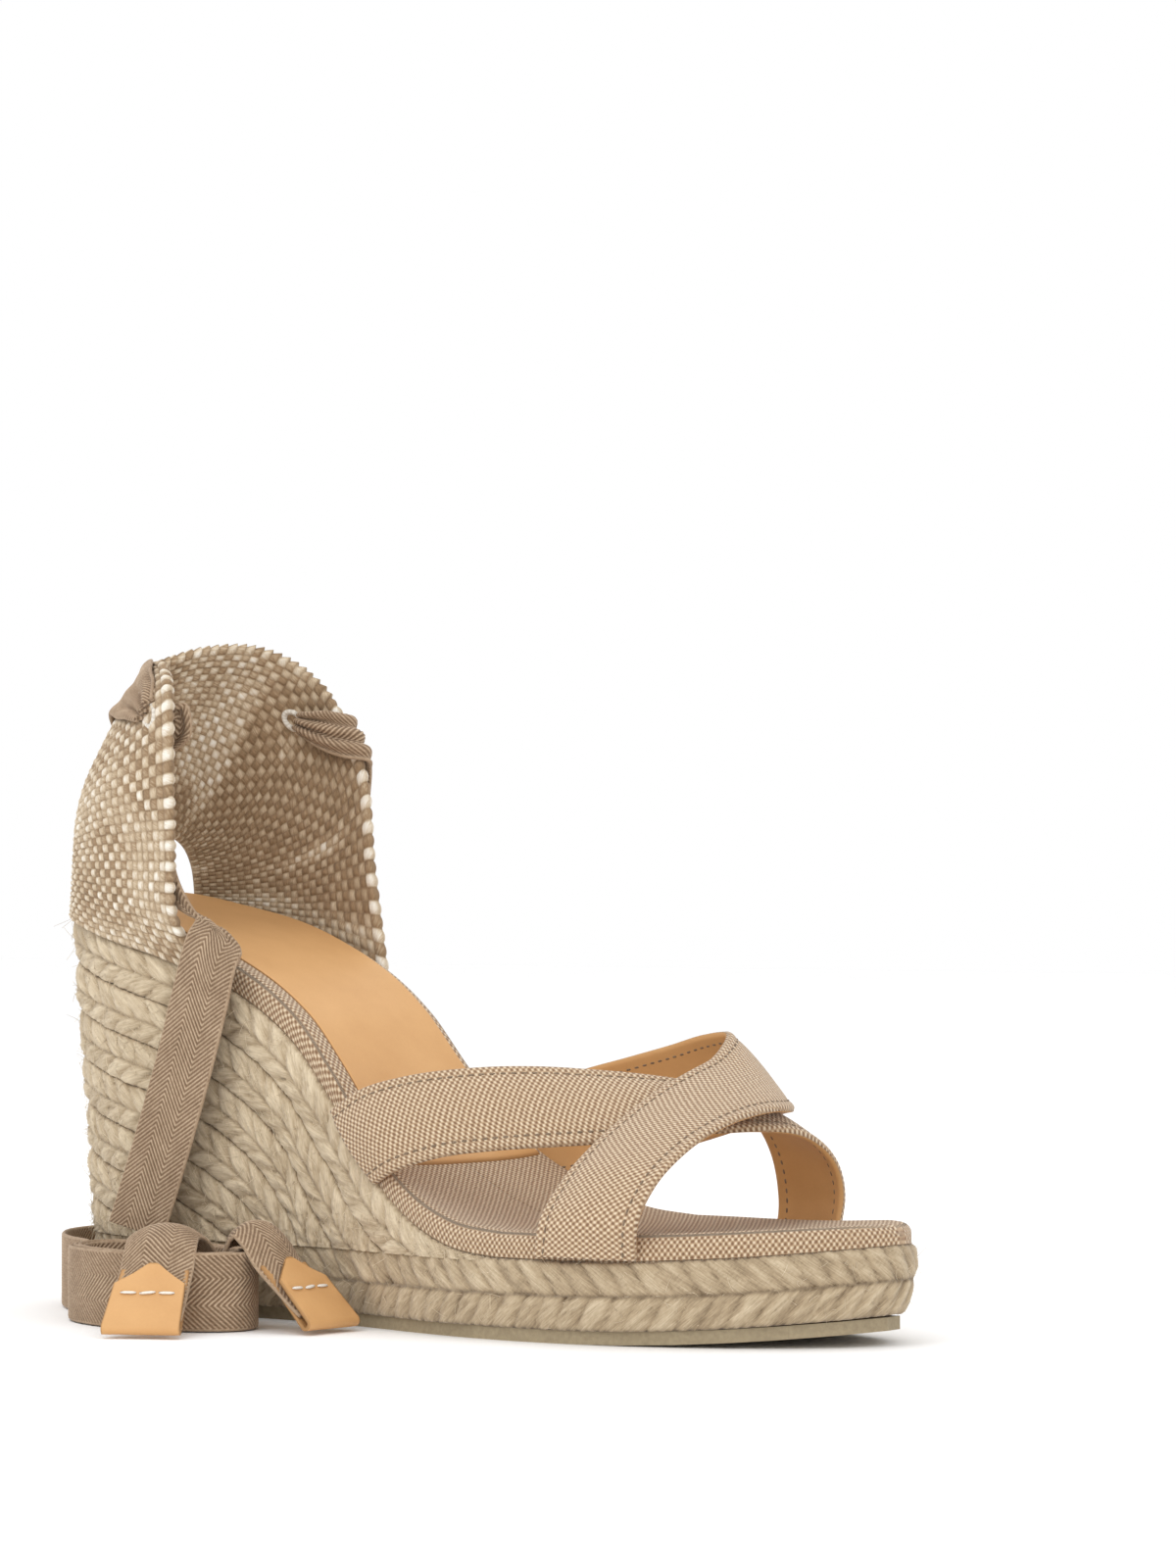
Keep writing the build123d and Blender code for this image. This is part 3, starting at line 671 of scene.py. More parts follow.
# ---- jute
def lobes(along, across, pitch, seed):
    """Height, shade and side of a flat plait: two leaning rows of rounded lobes."""
    side = np.where(across >= 0, 1.0, -1.0)
    drift = 0.9 * wobble(along, across * 3, 22, seed) + 0.35 * wobble(along, across * 3, 7, seed + 1)
    lean = np.abs(across) * LOBE_SLANT * HALF_ROW
    phase = (along + lean + drift) / pitch + np.where(side > 0, 0, 0.5)
    cell = np.floor(phase)
    height = np.clip(np.sin(np.pi * (phase - cell)), 0, 1) ** 0.55
    height = height * (1 - 0.5 * bell(across, 0.12))
    height = height * (1 + 0.25 * wobble(cell * 3.7, side * 5.0, 1.0, seed + 2))
    return height, wobble(cell * 5.1, side * 9.0, 1.0, seed + 3), side


def beside(path, out, distance, z):
    """Grid of points at a distance outward from a path round the sole, at heights z."""
    plan = path[:, None, :] + out[:, None, :] * distance[..., None]
    return np.concatenate([plan, z[..., None]], axis=2)


def braid(path, out, low, high, clip, pitch, undercut, seed):
    """One row of plaited jute along a path round the sole: outer and inner face, tint with painted shade,
    and place.

    The row lies between the heights low and high and stops at clip. Undercut draws its foot in.
    """
    middle = (low + high) / 2
    half = (high - low) / 2
    along_middle = lengths(np.column_stack([path, middle]))
    climb = np.gradient(middle, along_middle)
    bottom = np.maximum(low, clip)
    top = np.maximum(high, clip + 0.05)
    columns = max(8, int((high - low).max() / BRAID_STEP))
    z = bottom[:, None] + (top - bottom)[:, None] * np.linspace(0, 1, columns)[None, :]
    across = np.clip((z - middle[:, None]) / half[:, None], -1, 1)
    along = along_middle[:, None] + (z - middle[:, None]) * climb[:, None]
    height, shade, side = lobes(along, across, pitch, seed)

    lean = LOBE_SLANT * side
    run = along - across * HALF_ROW * lean
    cross = across * HALF_ROW + along * lean * 0.55
    fibre = 0.9 * wobble(run * 0.16, cross * 1.1, 1.0, seed + 7)
    fibre += 0.8 * wobble(run * 0.35, cross * 3.0, 1.0, seed + 5)
    fibre += 0.5 * wobble(run * 0.6, cross * 7.0, 1.0, seed + 6)
    rim = (1 - np.abs(across) ** 3.2) ** 0.5
    push = BRAID_EDGE * (rim - 1) + LOBE_RELIEF * (height - 0.75) * (0.35 + 0.65 * rim)
    push += FIBRE_RELIEF * fibre + 0.35 * wobble(along, z, 9, seed + 8)
    flare = flare_at(path[:, :1], z) - undercut * (1 - across) / 2
    outer = beside(path, out, flare + push, z)
    inner = beside(path, out, flare - BRAID_DEPTH, z)

    # Painted shade and light: lobe crowns and raised strands lighter, hollows darker, the drawn-in platform
    # row darker by its undercut; each lobe's shade is its own random tone.
    tint = 0.63 + 0.22 * (height - 0.8) + 0.11 * fibre + 0.07 * shade - 0.065 * undercut
    # Painted shade in the seams between rows.
    tint -= 0.42 * bell(1 - np.abs(across), 0.05) * (0.6 + 0.4 * np.sin(along * 2.6))
    # Painted shade down the middle groove, where the row's two lines of lobes meet.
    tint -= 0.16 * bell(across, 0.07)
    place = np.stack([run, cross, np.full_like(run, seed * 9.0)], axis=2)
    return outer, inner, tint, place


def jute_piece(name, node, faces, wrap=False):
    """A plait as a closed piece. Returns its outer face, for the loose fibres."""
    outer, inner, tint, place = faces
    obj = closed_sheet(name, outer, inner, (tint, tint * INSIDE_SHADE), (place, place), wrap)
    finish(obj, JUTE, "sandal", [node])
    return outer


def jute_row(row):
    """One row of the wedge, from the waist on one side round the heel to the other side."""
    p, out = plan_edge(ROW_POINTS)
    p = np.roll(p, -(ROW_POINTS // 2), axis=0)
    out = np.roll(out, -(ROW_POINTS // 2), axis=0)
    high = row_seam(row - 1, p[:, 0])
    low = row_seam(row, p[:, 0])
    clip = platform_top(p[:, 0]) - ROW_SINK
    keep = (high > clip + ROW_SINK) & (p[:, 0] < WEDGE_RISE[-1][0] - 2)
    faces = braid(p[keep], out[keep], low[keep], high[keep], clip[keep], LOBE_PITCH, 0, 11 * row)
    return jute_piece(f"wedge_row_{row}", f"wedge_braid_{row}", faces)


def jute_platform():
    p, out = plan_edge(PLATFORM_POINTS)
    low = RUBBER_THICKNESS + spring(p[:, 0])
    high = platform_top(p[:, 0])
    faces = braid(p, out, low, high, low - 1, PLATFORM_LOBE_PITCH, PLATFORM_UNDERCUT, 131)
    return jute_piece("platform_edge_braid", "platform_braid", faces, wrap=True)


def hair(root, up):
    """Points of one loose fibre, three to a station. Near the floor it doesn't point down."""
    side = rng.normal(size=3)
    side = unit(side - up * side.dot(up))
    length = HAIR_LENGTH * rng.uniform(0.35, 1.3)
    lift = length * rng.uniform(0.05, 0.4)
    bend = length * 0.35 * rng.normal(size=3)
    if root[2] < 2 * HAIR_LENGTH:
        side[2] = abs(side[2])
        bend[2] = abs(bend[2])
    wide = np.cross(side, up) * HAIR_WIDTH
    points = []
    for t in np.linspace(0, 1, HAIR_STATIONS):
        centre = root + up * (0.05 + lift * t * (1 - 0.55 * t)) + side * length * t + bend * t * t
        taper = wide * (1 - 0.7 * t)
        points += [centre - taper, centre + taper, centre + up * HAIR_WIDTH]
    return points


def hairs(name, surfaces):
    """Loose jute fibres that start on the plaits' outer faces."""
    verts = []
    faces = []
    tints = []
    places = []
    for outer in surfaces:
        n = normals(outer)
        rows, columns = outer.shape[:2]
        for _ in range(HAIRS_PER_ROW):
            i = int(rng.integers(2, rows - 2))
            j = int(rng.integers(1, columns - 1))
            start = len(verts)
            points = hair(outer[i, j], -n[i, j])
            for a in range(start, start + 3 * (HAIR_STATIONS - 1), 3):
                faces += [(a, a + 1, a + 4, a + 3), (a + 1, a + 2, a + 5, a + 4), (a + 2, a, a + 3, a + 5)]
            verts += points
            tints += [rng.uniform(0.5, 1.05)] * len(points)
            places += [(start, start * 0.7, 0)] * len(points)
    finish(new_mesh(name, verts, faces, tints, places), JUTE, "sandal")


# ---- footbed
def spine(x):
    """Middle of the sole's breadth, and half of that breadth."""
    p, _ = plan_edge(SPINE_POINTS)
    divide = smooth_station([(0, 0), (SOLE_LENGTH, TOE_OFFSET)], p[:, 0])
    sides = []
    for side in (p[p[:, 1] < divide], p[p[:, 1] >= divide]):
        side = side[np.argsort(side[:, 0])]
        sides.append(np.interp(x, side[:, 0], side[:, 1]))
    return (sides[0] + sides[1]) / 2, (sides[1] - sides[0]) / 2


def footbed_height(x, y):
    """Top of the footbed, slightly dished."""
    middle, half = spine(x)
    share = np.clip(np.abs(y - middle) / np.maximum(half - COVER_INSET, 1), 0, 1)
    return wedge_top(x) + FOOTBED_THICKNESS - DISH_DEPTH * (1 - share ** 3)


def paired_edge(half_count):
    """Places, outward directions and stations round the sole, whose two sides face each other."""
    p, out = plan_edge(EDGE_POINTS)
    toe = int(np.argmax(p[:, 0]))
    stations = SOLE_LENGTH * (1 - np.cos(np.linspace(0, math.pi, half_count + 1))) / 2
    near = np.interp(stations, p[:toe + 1, 0], np.arange(toe + 1))
    far = np.interp(-stations[-2:0:-1], -p[toe:, 0], np.arange(toe, len(p)))
    index = np.rint(np.concatenate([near, far])).astype(int)
    return p[index], out[index], np.concatenate([stations, stations[-2:0:-1]])


def rings(edge, shares, x):
    """Rings from an outline inward to the middle line, as a grid of plan points."""
    middle_x = np.clip(x, 22, SOLE_LENGTH - 26)
    middle = np.column_stack([middle_x, spine(middle_x)[0]])
    return np.stack([edge + (middle - edge) * share for share in shares], axis=1)


def cover_side(p, out, edge):
    """Rows of the cover's upright side and of its rounded edge."""
    base = wedge_top(edge[:, 0])
    rows = []
    for rise in np.linspace(0, FOOTBED_THICKNESS - EDGE_ROUND, SIDE_ROWS):
        rows.append(np.column_stack([edge, base + rise - 0.4]))
    for angle in np.linspace(0, math.pi / 2, ROUND_ROWS + 1)[1:]:
        inward = p - out * (COVER_INSET + EDGE_ROUND * (1 - math.cos(angle)))
        top = footbed_height(inward[:, 0], inward[:, 1])
        rows.append(np.column_stack([inward, top - EDGE_ROUND * (1 - math.sin(angle))]))
    return np.stack(rows, axis=1)


def footbed_cover():
    """Canvas wrapped over the foam and board. Its weave follows the edge and then the length."""
    p, out, stations = paired_edge(COVER_STATIONS)
    edge = p - out * COVER_INSET
    shares = np.linspace(0, 1, COVER_RINGS)[1:] ** 1.2
    plan = rings(p - out * (COVER_INSET + EDGE_ROUND), shares, stations)
    z = footbed_height(plan[..., 0], plan[..., 1])
    top = np.concatenate([plan, z[..., None]], axis=2)
    surface = np.concatenate([cover_side(p, out, edge), top], axis=1)
    under = surface.copy()
    under[..., 2] = np.minimum(surface[..., 2] - 0.6, wedge_top(surface[..., 0]) + 0.3)

    flat = np.zeros(surface.shape[:2])
    around = lengths(np.vstack([edge, edge[:1]]))[1:, None] + flat
    on_top = np.arange(surface.shape[1])[None, :] >= SIDE_ROWS + ROUND_ROWS // 2
    u = np.where(on_top, surface[..., 0] * 1.15, around)
    v = np.where(on_top, surface[..., 1], lengths(surface, 1))
    place = np.stack([u, v, flat], axis=2)[:, ::-1]
    tint = flat + 0.93
    faces = (surface[:, ::-1], under[:, ::-1])
    obj = closed_sheet("footbed_canvas", *faces, (tint, tint), (place, place), wrap=True)
    finish(obj, CANVAS, "sandal", ["footbed_cover", "footbed_foam", "insole_board"])


def sock_side(sign, inset, x):
    """Breadthwise places of one side of the leather sock."""
    p, out = plan_edge(EDGE_POINTS)
    edge = (p - out * inset)[out[:, 1] * sign > 0]
    edge = edge[np.argsort(edge[:, 0])]
    return np.interp(x, edge[:, 0], edge[:, 1])


def leather_sock():
    """Leather laid on the footbed from the heel to the straps."""
    turn = np.linspace(0, math.pi / 2, SOCK_GRID[0])
    x = SOCK_INSET + (SOCK_END - SOCK_INSET) * (1 - np.cos(turn))
    near = sock_side(-1, SOCK_INSET, x)[:, None]
    far = sock_side(1, SOCK_FAR_INSET, x)[:, None]
    share = (1 - np.cos(np.linspace(0, math.pi, SOCK_GRID[1]))) / 2
    y = near + (far - near) * share[None, :]
    x = np.broadcast_to(x[:, None], y.shape)
    edge = np.minimum(np.minimum(y - near, far - y), SOCK_END - x)
    rise = SOCK_THICKNESS * np.clip(edge / SOCK_THICKNESS, 0, 1) ** 0.5
    z = footbed_height(x, y)
    top = np.stack([x, y, z + rise], axis=2)
    bottom = np.stack([x, y, z - 0.3], axis=2)
    tint = np.where(edge < 0.15, 0.25, 1.0)
    obj = closed_sheet("leather_sock_top", top, bottom, (tint, tint), (top, top))
    finish(obj, LEATHER, "sandal", ["leather_sock"])


# ---- straps
def strap_rows(rear, front):
    """Rows across a strap, from its rear edge to its front edge, crowned outward."""
    rear = np.array(rear, float)
    front = np.array(front, float)
    rows = []
    for i, (a, b) in enumerate(zip(rear, front)):
        along = rear[min(i + 1, len(rear) - 1)] - rear[max(i - 1, 0)]
        out = unit(np.cross(b - a, along))
        rows.append([a + (b - a) * t + out * STRAP_CROWN * 4 * t * (1 - t) for t in (0, 0.25, 0.5, 0.75, 1)])
    return rows


def strap(name, rear, front):
    """Canvas strap with a leather lining, stitched along both edges."""
    g = smooth_grid(strap_rows(rear, front), STRAP_STEP)
    n = normals(g)
    along = lengths(g)
    across = lengths(g, 1)
    width = across[:, -1:]
    edge = np.minimum(across, width - across)
    soft = rounded(edge, 1.0)
    ridge = 0.18 * bell(edge - STITCH_INSET / 2, 0.9)
    groove = 0.16 * bell(edge - STITCH_INSET, 0.45)
    top = g + n * (0.12 + CANVAS_LAYER * soft + ridge - groove)[..., None]
    low = g - n * (0.1 + LINING_LAYER * soft)[..., None]
    place = np.stack([along, across, np.zeros_like(along)], axis=2)
    tint = np.where(edge < 0.25, 0.75, 1.0)
    canvas = closed_sheet(f"{name}_canvas_cloth", top, g + n * 0.05, (tint, tint), (place, place))
    finish(canvas, CANVAS, "sandal", [f"{name}_canvas"])
    lining = closed_sheet(f"{name}_leather_lining", g, low, (tint, tint), (place, place))
    finish(lining, LEATHER, "sandal", [f"{name}_lining"])
    stitch_line(f"{name}_stitching", g, n, across, along)


def stitch_line(name, g, n, across, along):
    """Short stitches along both edges of a strap, seen on its canvas and on its leather."""
    verts = []
    faces = []
    columns = g.shape[1]
    column = int(round(STITCH_INSET / (across[:, -1].mean() / (columns - 1))))
    sides = ((CANVAS_LAYER + 0.14, 1), (-LINING_LAYER - 0.12, -1))
    for j, (lift, sign) in itertools.product((column, columns - 1 - column), sides):
        line = g[:, j] + n[:, j] * lift
        path = along[:, j]
        for k in range(int(path[-1] / STITCH_PITCH)):
            first = k * STITCH_PITCH + STITCH_PITCH * 0.3
            ends = [np.interp((first, first + STITCH_LENGTH), path, line[:, axis]) for axis in range(3)]
            row = min(int(first / path[-1] * (len(path) - 1)), len(path) - 1)
            new_verts, new_faces = sliver(*np.transpose(ends), n[row, j] * sign, 0.24, 0.1, len(verts))
            verts += new_verts
            faces += new_faces
    obj = new_mesh(name, verts, faces, np.full(len(verts), 0.35), verts)
    finish(obj, DARK_THREAD, "sandal")


def sliver(a, b, up, half, height, start):
    """One stitch: a low four-sided bead from a to b, thinner at its ends."""
    side = np.cross(up, unit(b - a)) * half
    verts = []
    for t, size, rise in ((0.0, 0.5, -0.1), (0.25, 1.0, 0.8), (0.75, 1.0, 0.8), (1.0, 0.5, -0.1)):
        centre = a + (b - a) * t
        verts += [centre - side * size, centre + up * height * rise, centre + side * size, centre - up * 0.2]
    faces = []
    for k, m in itertools.product(range(3), range(4)):
        c = start + 4 * k
        faces.append((c + m, c + (m + 1) % 4, c + 4 + (m + 1) % 4, c + 4 + m))
    faces += [(start + 3, start + 2, start + 1, start), (start + 12, start + 13, start + 14, start + 15)]
    return verts, faces


# ---- ribbon
def herringbone(along, across):
    """Height of the tape's diagonal ridges, which change slant at each column, and the ridge share that the
    tint turns into painted shade in the grooves.
    """
    column = across / TAPE_WIDTH * CHEVRONS
    local = column - np.floor(column)
    zig = np.where(np.floor(column) % 2 == 0, local, 1 - local) * TAPE_WIDTH / CHEVRONS
    ridge = np.sin(np.pi * (along + zig * 1.1) / RIDGE_PITCH) ** 2
    stitch = np.abs(np.sin(np.pi * across / STITCH_ACROSS))
    return ridge * (0.75 + 0.25 * stitch), ridge


def tape(name, rows, body, nodes, curl=0.0):
    """Herringbone ribbon through (centre, direction across, width) rows.

    Where a row is narrower than the flat tape, pleats take up the rest. Curl bends the ribbon's
    start over its width.
    """
    centres = np.array([row[0] for row in rows], float)
    sides = unit(np.array([row[1] for row in rows], float))
    widths = np.array([row[2] for row in rows], float)[:, None]
    t = lengths(centres)
    count = max(8, int(t[-1] / TAPE_STEP))
    packed = np.concatenate([centres, sides, widths], axis=1)
    fine = hermite_at(packed, t, np.linspace(0, t[-1], count))
    side = unit(fine[:, 3:6])
    up = unit(np.cross(np.gradient(fine[:, :3], axis=0), side))
    width = fine[:, 6:]
    s = np.linspace(-0.5, 0.5, TAPE_COLUMNS)[None, :]
    gather = np.clip(1 - width / TAPE_WIDTH, 0, 1) ** 0.7
    lift = gather * PLEAT_DEPTH * np.sin(s * 2 * np.pi * PLEATS) + 0.25 * np.cos(s * np.pi)
    bend = np.maximum(curl * np.linspace(1, 0, count) ** 0.7, 0.01)[:, None]
    spread = width / 2 * np.sin(2 * s * bend) / bend
    lift = lift - width / 2 * (1 - np.cos(2 * s * bend)) / bend
    g = fine[:, None, :3] + side[:, None, :] * spread[..., None] + up[:, None, :] * lift[..., None]
    return tape_mesh(name, g, body, nodes)


def tape_mesh(name, g, body, nodes):
    """Ribbon with herringbone ridges on both faces of a middle surface."""
    rows, columns = g.shape[:2]
    along = np.broadcast_to(lengths(g).mean(axis=1)[:, None], (rows, columns))
    across = np.broadcast_to(np.linspace(0, TAPE_WIDTH, columns)[None, :], (rows, columns))
    height, ridge = herringbone(along, across)
    edge = np.minimum(across, TAPE_WIDTH - across)
    lift = TAPE_THICKNESS / 2 * (0.25 + 0.75 * rounded(edge, 0.6))
    lift = lift + RIDGE_RELIEF * (height - 0.5) * np.clip(edge / 0.9, 0, 1)
    out = -normals(g) * lift[..., None]
    # Painted shade: dark in the grooves between the ridges, pale on their crowns.
    tint = 0.12 + 0.80 * ridge * (0.55 + 0.45 * height) + 0.06 * wobble(along, across, 3.0, 77)
    tint = np.where(edge < 0.6, 0.62, tint)
    place = np.stack([along, across, np.zeros_like(along)], axis=2)
    obj = closed_sheet(name, g + out, g - out, (tint, tint), (place, place + 50))
    finish(obj, RIBBON, body, nodes)
    return obj


def standing(plan):
    """Middle surface of a tape that stands on its edge along a line in plan."""
    z = np.linspace(FLOOR_GAP, FLOOR_GAP + TAPE_WIDTH, TAPE_COLUMNS)
    g = np.zeros((len(plan), TAPE_COLUMNS, 3))
    g[..., :2] = plan[:, None, :]
    g[..., 2] = z[None, :]
    return g


def ribbon_roll():
    """Flat oval coil of ribbon on its edge, each turn inside the last."""
    turns = np.linspace(0, ROLL_TURNS * 2 * math.pi, ROLL_POINTS) + math.radians(ROLL_START)
    shrink = ROLL_SPACING * (turns - turns[0]) / (2 * math.pi)
    u = (ROLL_HALF[0] - shrink) * np.cos(turns)
    v = (ROLL_HALF[1] - shrink) * np.sin(turns)
    c = math.cos(math.radians(ROLL_TURN))
    s = math.sin(math.radians(ROLL_TURN))
    g = standing(np.column_stack([ROLL_CENTRE[0] + u * c - v * s, ROLL_CENTRE[1] + u * s + v * c]))
    g[..., 2] += 0.25 * np.sin(turns * 1.3)[:, None] * (g[..., 2] > 9)
    tape_mesh("ribbon_roll_tape", g, "ankle_tie", ["ribbon_roll"])


def tip_frame(path):
    """Where a leather tip starts, the way it hangs and the way across it."""
    start = np.array(path[-2], float)
    down = unit(np.array(path[-1], float) - start)
    return start, down, unit(np.array([-down[1], down[0], 0]))


def tail(name, path, body):
    """Loose ribbon end from the roll into its leather tip."""
    start, down, side = tip_frame(path)
    points = [np.array(p, float) for p in path[:-2]] + [start + down * reach for reach in (-1.5, 8, 16)]
    rows = [(p, side, TAPE_WIDTH) for p in points]
    tape(f"{name}_tail_tape", rows, body, [f"{name}_ribbon_tail"], TAIL_CURL)


def tip_profile():
    """Leather folded round the ribbon's end, as (along, above): front flap, fold, back flap."""
    half = TIP_THICKNESS / 2
    flap = TIP_LENGTH - half
    profile = [(flap - (flap + 1.0) * t, half) for t in np.linspace(1, 0, TIP_ROWS)]
    for k in range(1, TIP_FOLD_ROWS):
        angle = math.pi * k / TIP_FOLD_ROWS
        profile.append((flap + half * math.sin(angle), half * math.cos(angle)))
    profile += [(flap * t, -half) for t in np.linspace(1, 0, TIP_ROWS)]
    return np.array(profile)


def leather_tip(name, path, body):
    """Leather tip with a pointed flap in front and a plain one behind."""
    start, down, side = tip_frame(path)
    up = np.cross(down, side)
    profile = tip_profile()
    s = np.linspace(-1, 1, TIP_COLUMNS)[None, :]
    x = np.repeat(profile[:, :1], TIP_COLUMNS, axis=1)
    point = TIP_POINT * np.clip(np.abs(s) - 0.12, 0, None)
    x = np.where(np.arange(len(x))[:, None] < TIP_ROWS, np.maximum(x, point), x)
    wide = TIP_WIDTH / 2 - TIP_FLARE * (1 - np.clip(x / TIP_LENGTH, 0, 1))
    swell = 0.12 * np.cos(x * 0.9) * (np.abs(s) < 0.9) + 0.1 * wobble(x, s * 9, 5, 41)
    seam = 0.28 * bell(x - TIP_SEAM, 0.9) * (np.abs(s) < 0.75)
    lift = profile[:, 1:] + np.sign(profile[:, 1:]) * (swell - seam)
    g = start + x[..., None] * down + (s * wide)[..., None] * side + lift[..., None] * up
    dx = np.gradient(g, axis=0)
    dx[np.linalg.norm(dx, axis=2) < 1e-6] = down * 1e-3
    inner = g - unit(np.cross(dx, np.gradient(g, axis=1))) * TIP_LEATHER
    place = np.stack([x, np.broadcast_to(s * 9, x.shape), lift], axis=2)
    tint = np.where(np.abs(s) > 0.985, 0.55, np.ones_like(x))
    # The inner face, hidden between the flaps, is painted darker: painted shade.
    obj = closed_sheet(f"{name}_tip_leather", g, inner, (tint, tint * 0.7), (place, place))
    finish(obj, LEATHER, body, [f"{name}_leather_tip"])
    saddle_stitches(name, start + up * (TIP_THICKNESS / 2 + 0.02), down, side, up, body)


def saddle_stitches(name, start, down, side, up, body):
    """Three hand stitches across a tip. The middle one is a little askew."""
    verts = []
    faces = []
    for k, tilt in ((-1, 0), (0, SADDLE_TILT), (1, 0)):
        middle = k * SADDLE_PITCH
        a = start + down * (TIP_SEAM + tilt) + side * (middle - SADDLE_HALF)
        b = start + down * (TIP_SEAM - tilt) + side * (middle + SADDLE_HALF)
        new_verts, new_faces = sliver(a, b, up, SADDLE_THREAD, SADDLE_THREAD, len(verts))
        verts += new_verts
        faces += new_faces
    obj = new_mesh(f"{name}_tip_saddle_stitches", verts, faces, np.ones(len(verts)), verts)
    finish(obj, THREAD, body, [f"{name}_tip_stitches"])


# ---- woven heel counter
def counter_place(rib, share):
    """Point of the counter at a rib number and a share of that rib."""
    ribs = np.array(COUNTER_RIBS, float)
    first = min(int(rib), len(ribs) - 2)
    row = ribs[first] * (1 - (rib - first)) + ribs[first + 1] * (rib - first)
    spans = len(row) - 1
    column = min(int(share * spans), spans - 1)
    part = share * spans - column
    return row[column] * (1 - part) + row[column + 1] * part


def counter_frame(rib, share):
    """Point of the counter, the direction along its rib and the direction outward."""
    across = counter_place(rib, share + 0.1) - counter_place(rib, share - 0.1)
    along = counter_place(rib + 0.3, share) - counter_place(rib - 0.3, share)
    return counter_place(rib, share), unit(across), unit(np.cross(across, along))


def heel_ribbon():
    """Ribbon round the back of the counter, from one eyelet to the other."""
    centres = np.array([counter_place(rib, share) for rib, share, _ in HEEL_ROWS])
    rows = []
    for run, (rib, share, width) in zip(np.gradient(centres, axis=0), HEEL_ROWS):
        centre, _, out = counter_frame(rib, share)
        rows.append((centre + out * HEEL_RIBBON_CLEAR, np.cross(run, out), width))
    tape("heel_ribbon_tape", rows, "sandal", ["heel_ribbon"])


def weave_cells(rows, columns, picks):
    """Which yarn is on top at each point of the band, and how near the point is to its middle."""
    shape = (rows, columns)
    lane = np.broadcast_to(np.linspace(0, WARPS, columns)[None, :], shape)
    pick = np.broadcast_to(np.linspace(0, picks, rows)[:, None], shape)
    rib = np.broadcast_to(np.linspace(0, len(COUNTER_RIBS) - 1, rows)[:, None], shape)
    warp = lane + 0.10 * wobble(pick, lane, 4, 3)
    weft = pick + 0.12 * wobble(pick, lane, 5, 4)
    i = np.floor(warp).astype(int)
    j = np.floor(weft).astype(int)
    bulge = np.clip(np.sin(np.pi * (warp - i)), 0, 1) * np.clip(np.sin(np.pi * (weft - j)), 0, 1)
    bound = (rib < OUTER_FLAP_END) | (rib > INNER_FLAP_START)
    return SimpleNamespace(
        lane=lane, pick=pick, weft=weft, over=(i + j) % 2 == 0, big=j % 2 == 0, nub=bulge ** 0.4,
        bound=bound, selvedge=(i >= WARPS - 1) & bound,
        random=wobble(i * 7.3 + 0.5, j * 3.1 + 0.5, 1.0, 9))


def weave_tints(c):
    """Tone of the band's outer and inner face, with paler patches and slubs, and painted shade in the gaps
    between yarns and over the whole inner face.
    """
    bare = np.clip(wobble(c.pick * 0.16, c.lane * 0.13, 1.0, 33) * 1.5 + 0.25, 0, 1)
    slub = np.clip(wobble(c.pick * 0.33, c.lane * 0.11, 1.0, 21) * 1.8 - 0.35, 0, 1)
    outside = np.where(c.over, 0.78 + 0.16 * c.random, 0.42 + 0.10 * c.random)
    outside = outside + bare * np.where(c.over, 0.05, 0.26)
    # The inner face shows the same yarns darker than the outer: painted shade.
    inside = np.where(c.over, 0.36 + 0.07 * c.random, 0.60 + 0.12 * c.random) + slub * 0.28
    selvedge = np.where(c.big, 0.98, 0.46) + 0.06 * c.random
    # Painted shade in the gaps between the yarns' bulges.
    gaps = 0.62 + 0.38 * c.nub
    return np.where(c.selvedge, selvedge, outside) * gaps, np.where(c.selvedge, selvedge, inside) * gaps


def counter():
    """Thick plain weave bent into an arch, its selvedge bound in bigger loops on the flaps."""
    g = smooth_grid(COUNTER_RIBS, WEAVE_PITCH / 7)
    along = lengths(g)
    across = lengths(g, 1)
    picks = int(along.mean(axis=1)[-1] / WEAVE_PITCH / 2) * 2
    cells = weave_cells(*g.shape[:2], picks)
    rise = np.where(cells.over, 0.55, 0.2) + 0.1 * cells.random
    rise = np.where(cells.selvedge, np.where(cells.big, 0.75, 0.3), rise)
    height = WEAVE_RELIEF * cells.nub * (1.1 + rise)
    soft = rounded(np.minimum(across, across[:, -1:] - across), 1.1)
    lift = (WEAVE_THICKNESS / 2 - WEAVE_RELIEF) * (0.2 + 0.8 * soft) + height * soft
    loops = np.where(cells.bound, 0.5 * np.abs(np.sin(np.pi * cells.weft)), 1.1 * (cells.weft % 1))
    fringe = np.where(cells.lane > WARPS - 0.6, loops, 0)
    middle = g + unit(np.gradient(g, axis=1)) * fringe[..., None]
    out = normals(g) * lift[..., None]
    runs = (np.where(cells.over, along, across), np.where(cells.over, across, along))
    place = np.stack([*runs, np.zeros_like(along)], axis=2)
    faces = (middle + out, middle - out)
    obj = closed_sheet("heel_counter_weave", *faces, weave_tints(cells), (place, place + 30))
    finish(obj, WEAVE, "sandal", ["heel_counter"])


